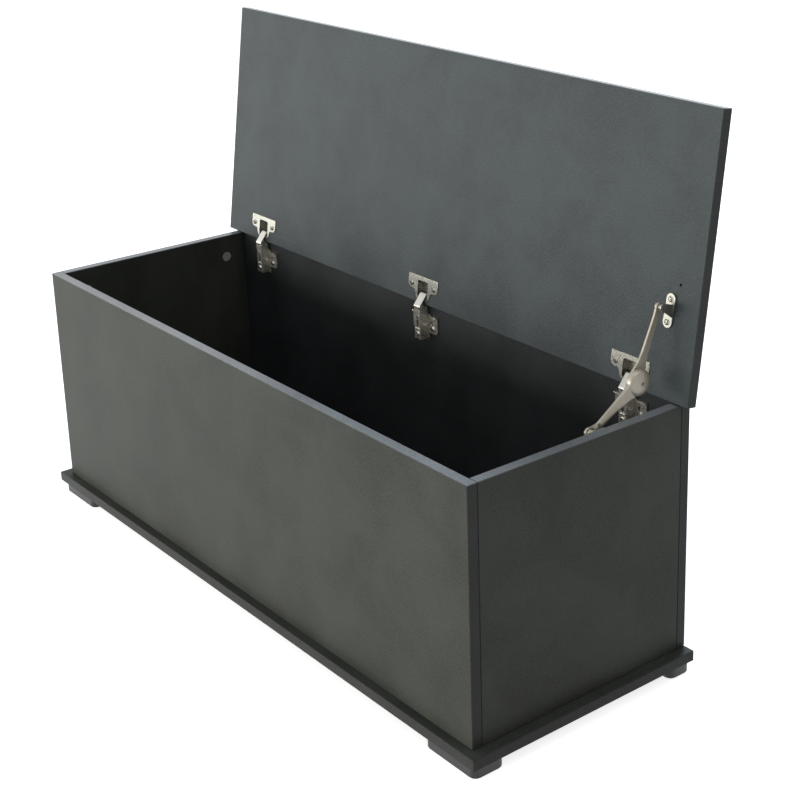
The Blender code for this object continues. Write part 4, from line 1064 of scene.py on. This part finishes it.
@dataclass
class StayCasting:
    """The stay's lower arm and its domed hub, cast in one.

    The arm's path and widths are given at shares of the way from its pivot to the hub's middle.
    """

    shares: tuple[float, ...] = (0.0, 0.17, 0.52, 0.78, 1.0)
    drops: tuple[float, ...] = (0.0, 0.0037, 0.00178, 0.00081, 0.0)
    half_widths: tuple[float, ...] = (0.0058, 0.0041, 0.0052, 0.0076, 0.0150)
    stations: int = 40
    thickness: float = 0.0030
    swell: float = 0.0026
    swell_from: float = 0.42
    swell_to: float = 0.92
    eye_radius: float = 0.0060
    hole_radius: float = 0.0027
    edge_rounding: float = 0.0007
    rounded_from_deg: float = 60.0
    smooth_deg: float = 40.0
    hub_profile: tuple[tuple[float, float], ...] = (
        (0.0, 0.00940), (0.0030, 0.00934), (0.0060, 0.00914), (0.0090, 0.00878),
        (0.0118, 0.00822), (0.0140, 0.00744), (0.0154, 0.00644), (0.0162, 0.00520),
        (0.0164, 0.00400), (0.0164, 0.0), (0.0, 0.0),
    )
    hub_sides: int = 56
    socket_radius: float = 0.0025
    socket_depth: float = 0.0016
    socket_sides: int = 6

    def between(self, share: float, values: tuple[float, ...]) -> float:
        """A value at a share of the arm's length, from the values at the given shares."""
        return float(np.interp(share, self.shares, values))

    def arm(self, pivot: Vector, hub: Vector) -> Shape:
        """Models the arm as a strip that widens and thickens towards the hub.

        Args:
            pivot: the middle of the arm's eye on its inner face.
            hub: the middle of the hub on the same face.

        Returns:
            The arm.
        """
        shape = bmesh.new()
        bmesh.ops.create_grid(shape, x_segments=self.stations, y_segments=1, size=0.5)
        along = (hub - pivot).normalized()
        across = RIGHT.cross(along)
        rises = {}
        for vert in shape.verts:
            share, side = vert.co.x + 0.5, 2 * vert.co.y
            offset = side * self.between(share, self.half_widths) - self.between(share, self.drops)
            vert.co = pivot.lerp(hub, share) + across * offset
            step = min(1.0, max(0.0, (share - self.swell_from) / (self.swell_to - self.swell_from)))
            rises[tuple(vert.co)] = self.thickness + self.swell * step * step * (3 - 2 * step)
        made = bmesh.ops.extrude_face_region(shape, geom=shape.faces[:])
        for vert in (item for item in made["geom"] if isinstance(item, bmesh.types.BMVert)):
            vert.co.x += rises[tuple(vert.co)]
        bmesh.ops.recalc_face_normals(shape, faces=shape.faces)
        return shape

    def build(self, frame: dict) -> None:
        """Makes the casting in place of the arm's and the cap's nodes.

        Args:
            frame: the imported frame.
        """
        joints = frame["record"]["behaviour"]["joints"]
        pivot = Vector(next(joint["pos_m"] for joint in joints if joint["name"] == "stay_lower_turn"))
        low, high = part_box("stay_hub_cap")
        hub = low.lerp(high, 0.5)
        pivot.x = hub.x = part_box("stay_lower_arm")[0][0]
        casting = finish_piece(self.arm(pivot, hub), "dressed_stay_casting", SATIN.look, Body.STAY_LOWER)
        thick, sunk = RIGHT * self.thickness, RIGHT * self.socket_depth
        cut_from(casting, rod(pivot, pivot + thick, self.eye_radius, self.hub_sides), "UNION")
        dome = turned_shape(list(self.hub_profile), self.hub_sides)
        dome.transform(Matrix.Translation(hub) @ Matrix.Rotation(math.radians(90), 4, "Y"))
        cut_from(casting, dome, "UNION")
        cut_from(casting, rod(pivot - thick, pivot + RIGHT * 2 * self.thickness, self.hole_radius))
        top = hub + RIGHT * self.hub_profile[0][1]
        cut_from(casting, rod(top - sunk, top + sunk, self.socket_radius, self.socket_sides))
        shape = bmesh.new()
        shape.from_mesh(casting.data)
        bmesh.ops.remove_doubles(shape, verts=shape.verts, dist=MERGE_DISTANCE)
        ease_edges(shape, self.edge_rounding, self.rounded_from_deg)
        shape.to_mesh(casting.data)
        shape.free()
        shade(casting, self.smooth_deg)
        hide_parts("stay_lower_arm", "stay_hub_cap")


@dataclass
class LidStay:
    """The folding stay at the right end."""

    edge_rounding: float = 0.00035
    bracket_head: ScrewHead = ScrewHead(0.0037, 0.0016, ring_depth=0.0008, recess_reach=0.40)
    bracket_thickness: float = 0.0023
    lid_screws: tuple[tuple[float, float], ...] = ((0.4564, 0.1210), (0.4544, 0.0930))
    lid_screw_turn: float = 15.0
    side_screw_reach: float = 0.0108
    side_screw_sink: float = 0.0003

    def dress(self, frame: dict, lid: Board) -> None:
        """Makes the stay's finished pieces.

        Args:
            frame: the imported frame.
            lid: the lid board, which carries the lid bracket.
        """
        parts = {
            "stay_side_bracket": (Body.CARCASS, SATIN),
            "stay_upper_arm": (Body.STAY_UPPER, SATIN),
            "stay_lid_bracket": (Body.LID, GLOSSY),
        }
        for node, (body, metal) in parts.items():
            dress_node(frame, node, metal.look, body, self.edge_rounding)
        StayCasting().build(frame)
        for number, (x, along) in enumerate(self.lid_screws, start=1):
            seat = lid.place(x, along, self.bracket_thickness)
            turn = self.lid_screw_turn * number
            self.bracket_head.add(f"lid_bracket_screw_{number}", seat, lid.outward(), turn, Body.LID)
        low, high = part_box("stay_side_bracket")
        middle = (low + high) / 2
        face = high[0] - self.bracket_thickness + self.side_screw_sink
        for number, side in enumerate((-1, 1), start=1):
            seat = Vector((face, middle[1] + side * self.side_screw_reach, middle[2]))
            self.bracket_head.add(f"side_bracket_screw_{number}", seat, -RIGHT)


@dataclass
class Fittings:
    """The feet and cams with their edges eased, and the bolts, which keep their CAD shapes."""

    foot_rounding: float = 0.0005
    cam_rounding: float = 0.0003

    def dress(self, frame: dict) -> None:
        """Gives each fitting its finish.

        Args:
            frame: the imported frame.
        """
        eased = {"foot_": (FOOT_PLASTIC, self.foot_rounding), "cam_lock": (ZINC, self.cam_rounding)}
        for name, node in list(frame["nodes"].items()):
            for start, (finish, rounding) in eased.items():
                if name.startswith(start):
                    dress_node(frame, name, finish.look, Body.CARCASS, rounding)
            if name.startswith("cam_bolt"):
                for slot in node.material_slots:
                    slot.material = SCREW_STEEL.look.material
                LOG.info("%s finished", name)


@dataclass
class Chest:
    """The whole chest."""

    lid_hole: tuple[float, float] = (0.467, 0.140)
    lid_hole_radius: float = 0.0018
    lid_hole_depth: float = 0.0030
    boards: dict[str, Board] = field(init=False)

    def __post_init__(self) -> None:
        """Lists the boards and the bodies they ride on."""
        carcass = ("base_board", "front_panel", "back_panel", "left_side_panel", "right_side_panel")
        self.boards = {node: Board(node, Body.CARCASS) for node in carcass}
        self.boards["lid_panel"] = Board("lid_panel", Body.LID)

    def dress(self, frame: dict) -> None:
        """Makes every piece of the chest.

        Args:
            frame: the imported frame.
        """
        lid = self.boards["lid_panel"]
        for board in self.boards.values():
            piece = board.dress(frame, LIT_AND_SHADED_BOARD_FINISHES.get(board.node, BoardFinish()))
            if board is lid:
                self.drill(piece)
        for place in HingePlace:
            Hinge(place).dress(frame, lid)
        LidStay().dress(frame, lid)
        Fittings().dress(frame)

    def drill(self, lid: Piece) -> None:
        """Drills the small spare hole beside the stay's bracket on the lid.

        Args:
            lid: the lid's piece.
        """
        place, depth = self.boards["lid_panel"].place, self.lid_hole_depth
        start, end = (place(*self.lid_hole, out) for out in (-depth, depth))
        cut_from(lid, rod(start, end, self.lid_hole_radius, sides=16))
        shade(lid)


WARM: Colour = (1.0, 1.0, 0.94)
COOL: Colour = (0.70, 0.87, 1.0)


@dataclass
class AreaLamp:
    """A soft lamp aimed at the chest's middle."""

    name: str
    place: Point
    width: float
    height: float
    power: float
    colour: Colour
    target: Point = (0.0, 0.0, 0.3)

    def build(self) -> None:
        """Adds the lamp to the scene."""
        light = bpy.data.lights.new(self.name, "AREA")
        light.shape = "RECTANGLE"
        light.size, light.size_y = self.width, self.height
        light.energy, light.color = self.power, self.colour
        lamp = bpy.data.objects.new(self.name, light)
        aim = Vector(self.target) - Vector(self.place)
        lamp.location = self.place
        lamp.rotation_euler = aim.to_track_quat("-Z", "Y").to_euler()
        bpy.context.scene.collection.objects.link(lamp)


@dataclass
class Studio:
    """The pale floor, the soft light and the white surroundings."""

    floor_size: float = 60.0
    floor_colour: Colour = (0.80, 0.80, 0.80)
    floor_roughness: float = 0.9
    floor_glow: float = 0.78
    white: Colour = (1.0, 1.0, 1.0)
    ambient: float = 0.30
    lamps: tuple[AreaLamp, ...] = (
        AreaLamp("low_left_softbox", (-1.9, -2.3, 0.45), 2.4, 0.8, 28.0, WARM),
        AreaLamp("far_front_softbox", (-1.5, -6.0, 0.9), 4.5, 1.6, 225.0, WARM),
        AreaLamp("left_wall_softbox", (-6.0, -2.6, 1.6), 4.0, 3.0, 85.0, WARM),
        AreaLamp("back_softbox", (-1.6, 2.2, 2.2), 2.4, 1.6, 30.0, COOL),
        AreaLamp("far_back_softbox", (-3.0, 4.5, 4.2), 4.5, 3.0, 50.0, COOL),
        AreaLamp("right_softbox", (2.4, 0.4, 2.8), 1.6, 1.6, 14.0, WARM),
        AreaLamp("top_softbox", (0.0, 0.0, 3.4), 3.0, 3.0, 34.0, COOL),
    )

    def build(self) -> None:
        """Builds the floor, the lamps and the world."""
        self.build_floor()
        for lamp in self.lamps:
            lamp.build()
        self.build_world()
        bpy.context.scene.view_settings.view_transform = "Standard"
        LOG.info("studio lit")

    def build_floor(self) -> None:
        """Lays a pale floor that looks white to the camera and keeps the chest's shadow."""
        shape = bmesh.new()
        bmesh.ops.create_grid(shape, x_segments=1, y_segments=1, size=self.floor_size / 2)
        floor = add_mesh(shape, "floor")
        tree = MaterialTree("pale_floor")
        tree.paint(Base_Color=self.floor_colour, Roughness=self.floor_roughness, Specular_IOR_Level=0.0)
        strength = tree.math("MULTIPLY", tree.seen_directly(), self.floor_glow)
        glow = tree.add("Emission", Color=self.white, Strength=strength)
        both = tree.result("AddShader", tree.shader.outputs[0], glow.outputs[0])
        tree.fill(tree.tree.nodes["Material Output"], Surface=both)
        floor.data.materials.append(tree.material)

    def build_world(self) -> None:
        """Makes a world that is white to the camera and in reflections, and dimmer as a light."""
        world = bpy.data.worlds.new("white_surroundings")
        world.use_nodes = True
        tree = NodeTree(world.node_tree)
        strength = tree.ramp(tree.seen_directly(), 0.0, 1.0, self.ambient, 1.0)
        tree.fill(world.node_tree.nodes["Background"], Color=self.white, Strength=strength)
        bpy.context.scene.world = world


@dataclass
class PhotoCamera:
    """The camera that took the photograph, fitted to the chest's edges."""

    place: Point = (1.7120, -1.1704, 1.1079)
    turn_deg: Point = (71.784, 1.069, 50.492)
    lens: float = 74.46
    sensor_width: float = 36.0
    shift: tuple[float, float] = (-0.09, -0.16)
    clip: tuple[float, float] = (0.05, 200.0)

    def build(self) -> None:
        """Adds the camera and makes it the scene's."""
        data = bpy.data.cameras.new("photo_camera")
        data.lens, data.sensor_width = self.lens, self.sensor_width
        data.shift_x, data.shift_y = self.shift
        data.clip_start, data.clip_end = self.clip
        camera = bpy.data.objects.new("photo_camera", data)
        camera.location = self.place
        camera.rotation_euler = [math.radians(turn) for turn in self.turn_deg]
        bpy.context.scene.collection.objects.link(camera)
        bpy.context.scene.camera = camera
        LOG.info("camera placed")


def main() -> None:
    """Loads the frame, dresses the chest and builds the studio."""
    logging.basicConfig(level=logging.INFO, format="%(name)s: %(message)s")
    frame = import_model()
    PhotoCamera().build()
    Chest().dress(frame)
    Studio().build()


if __name__ == "__main__":
    main()
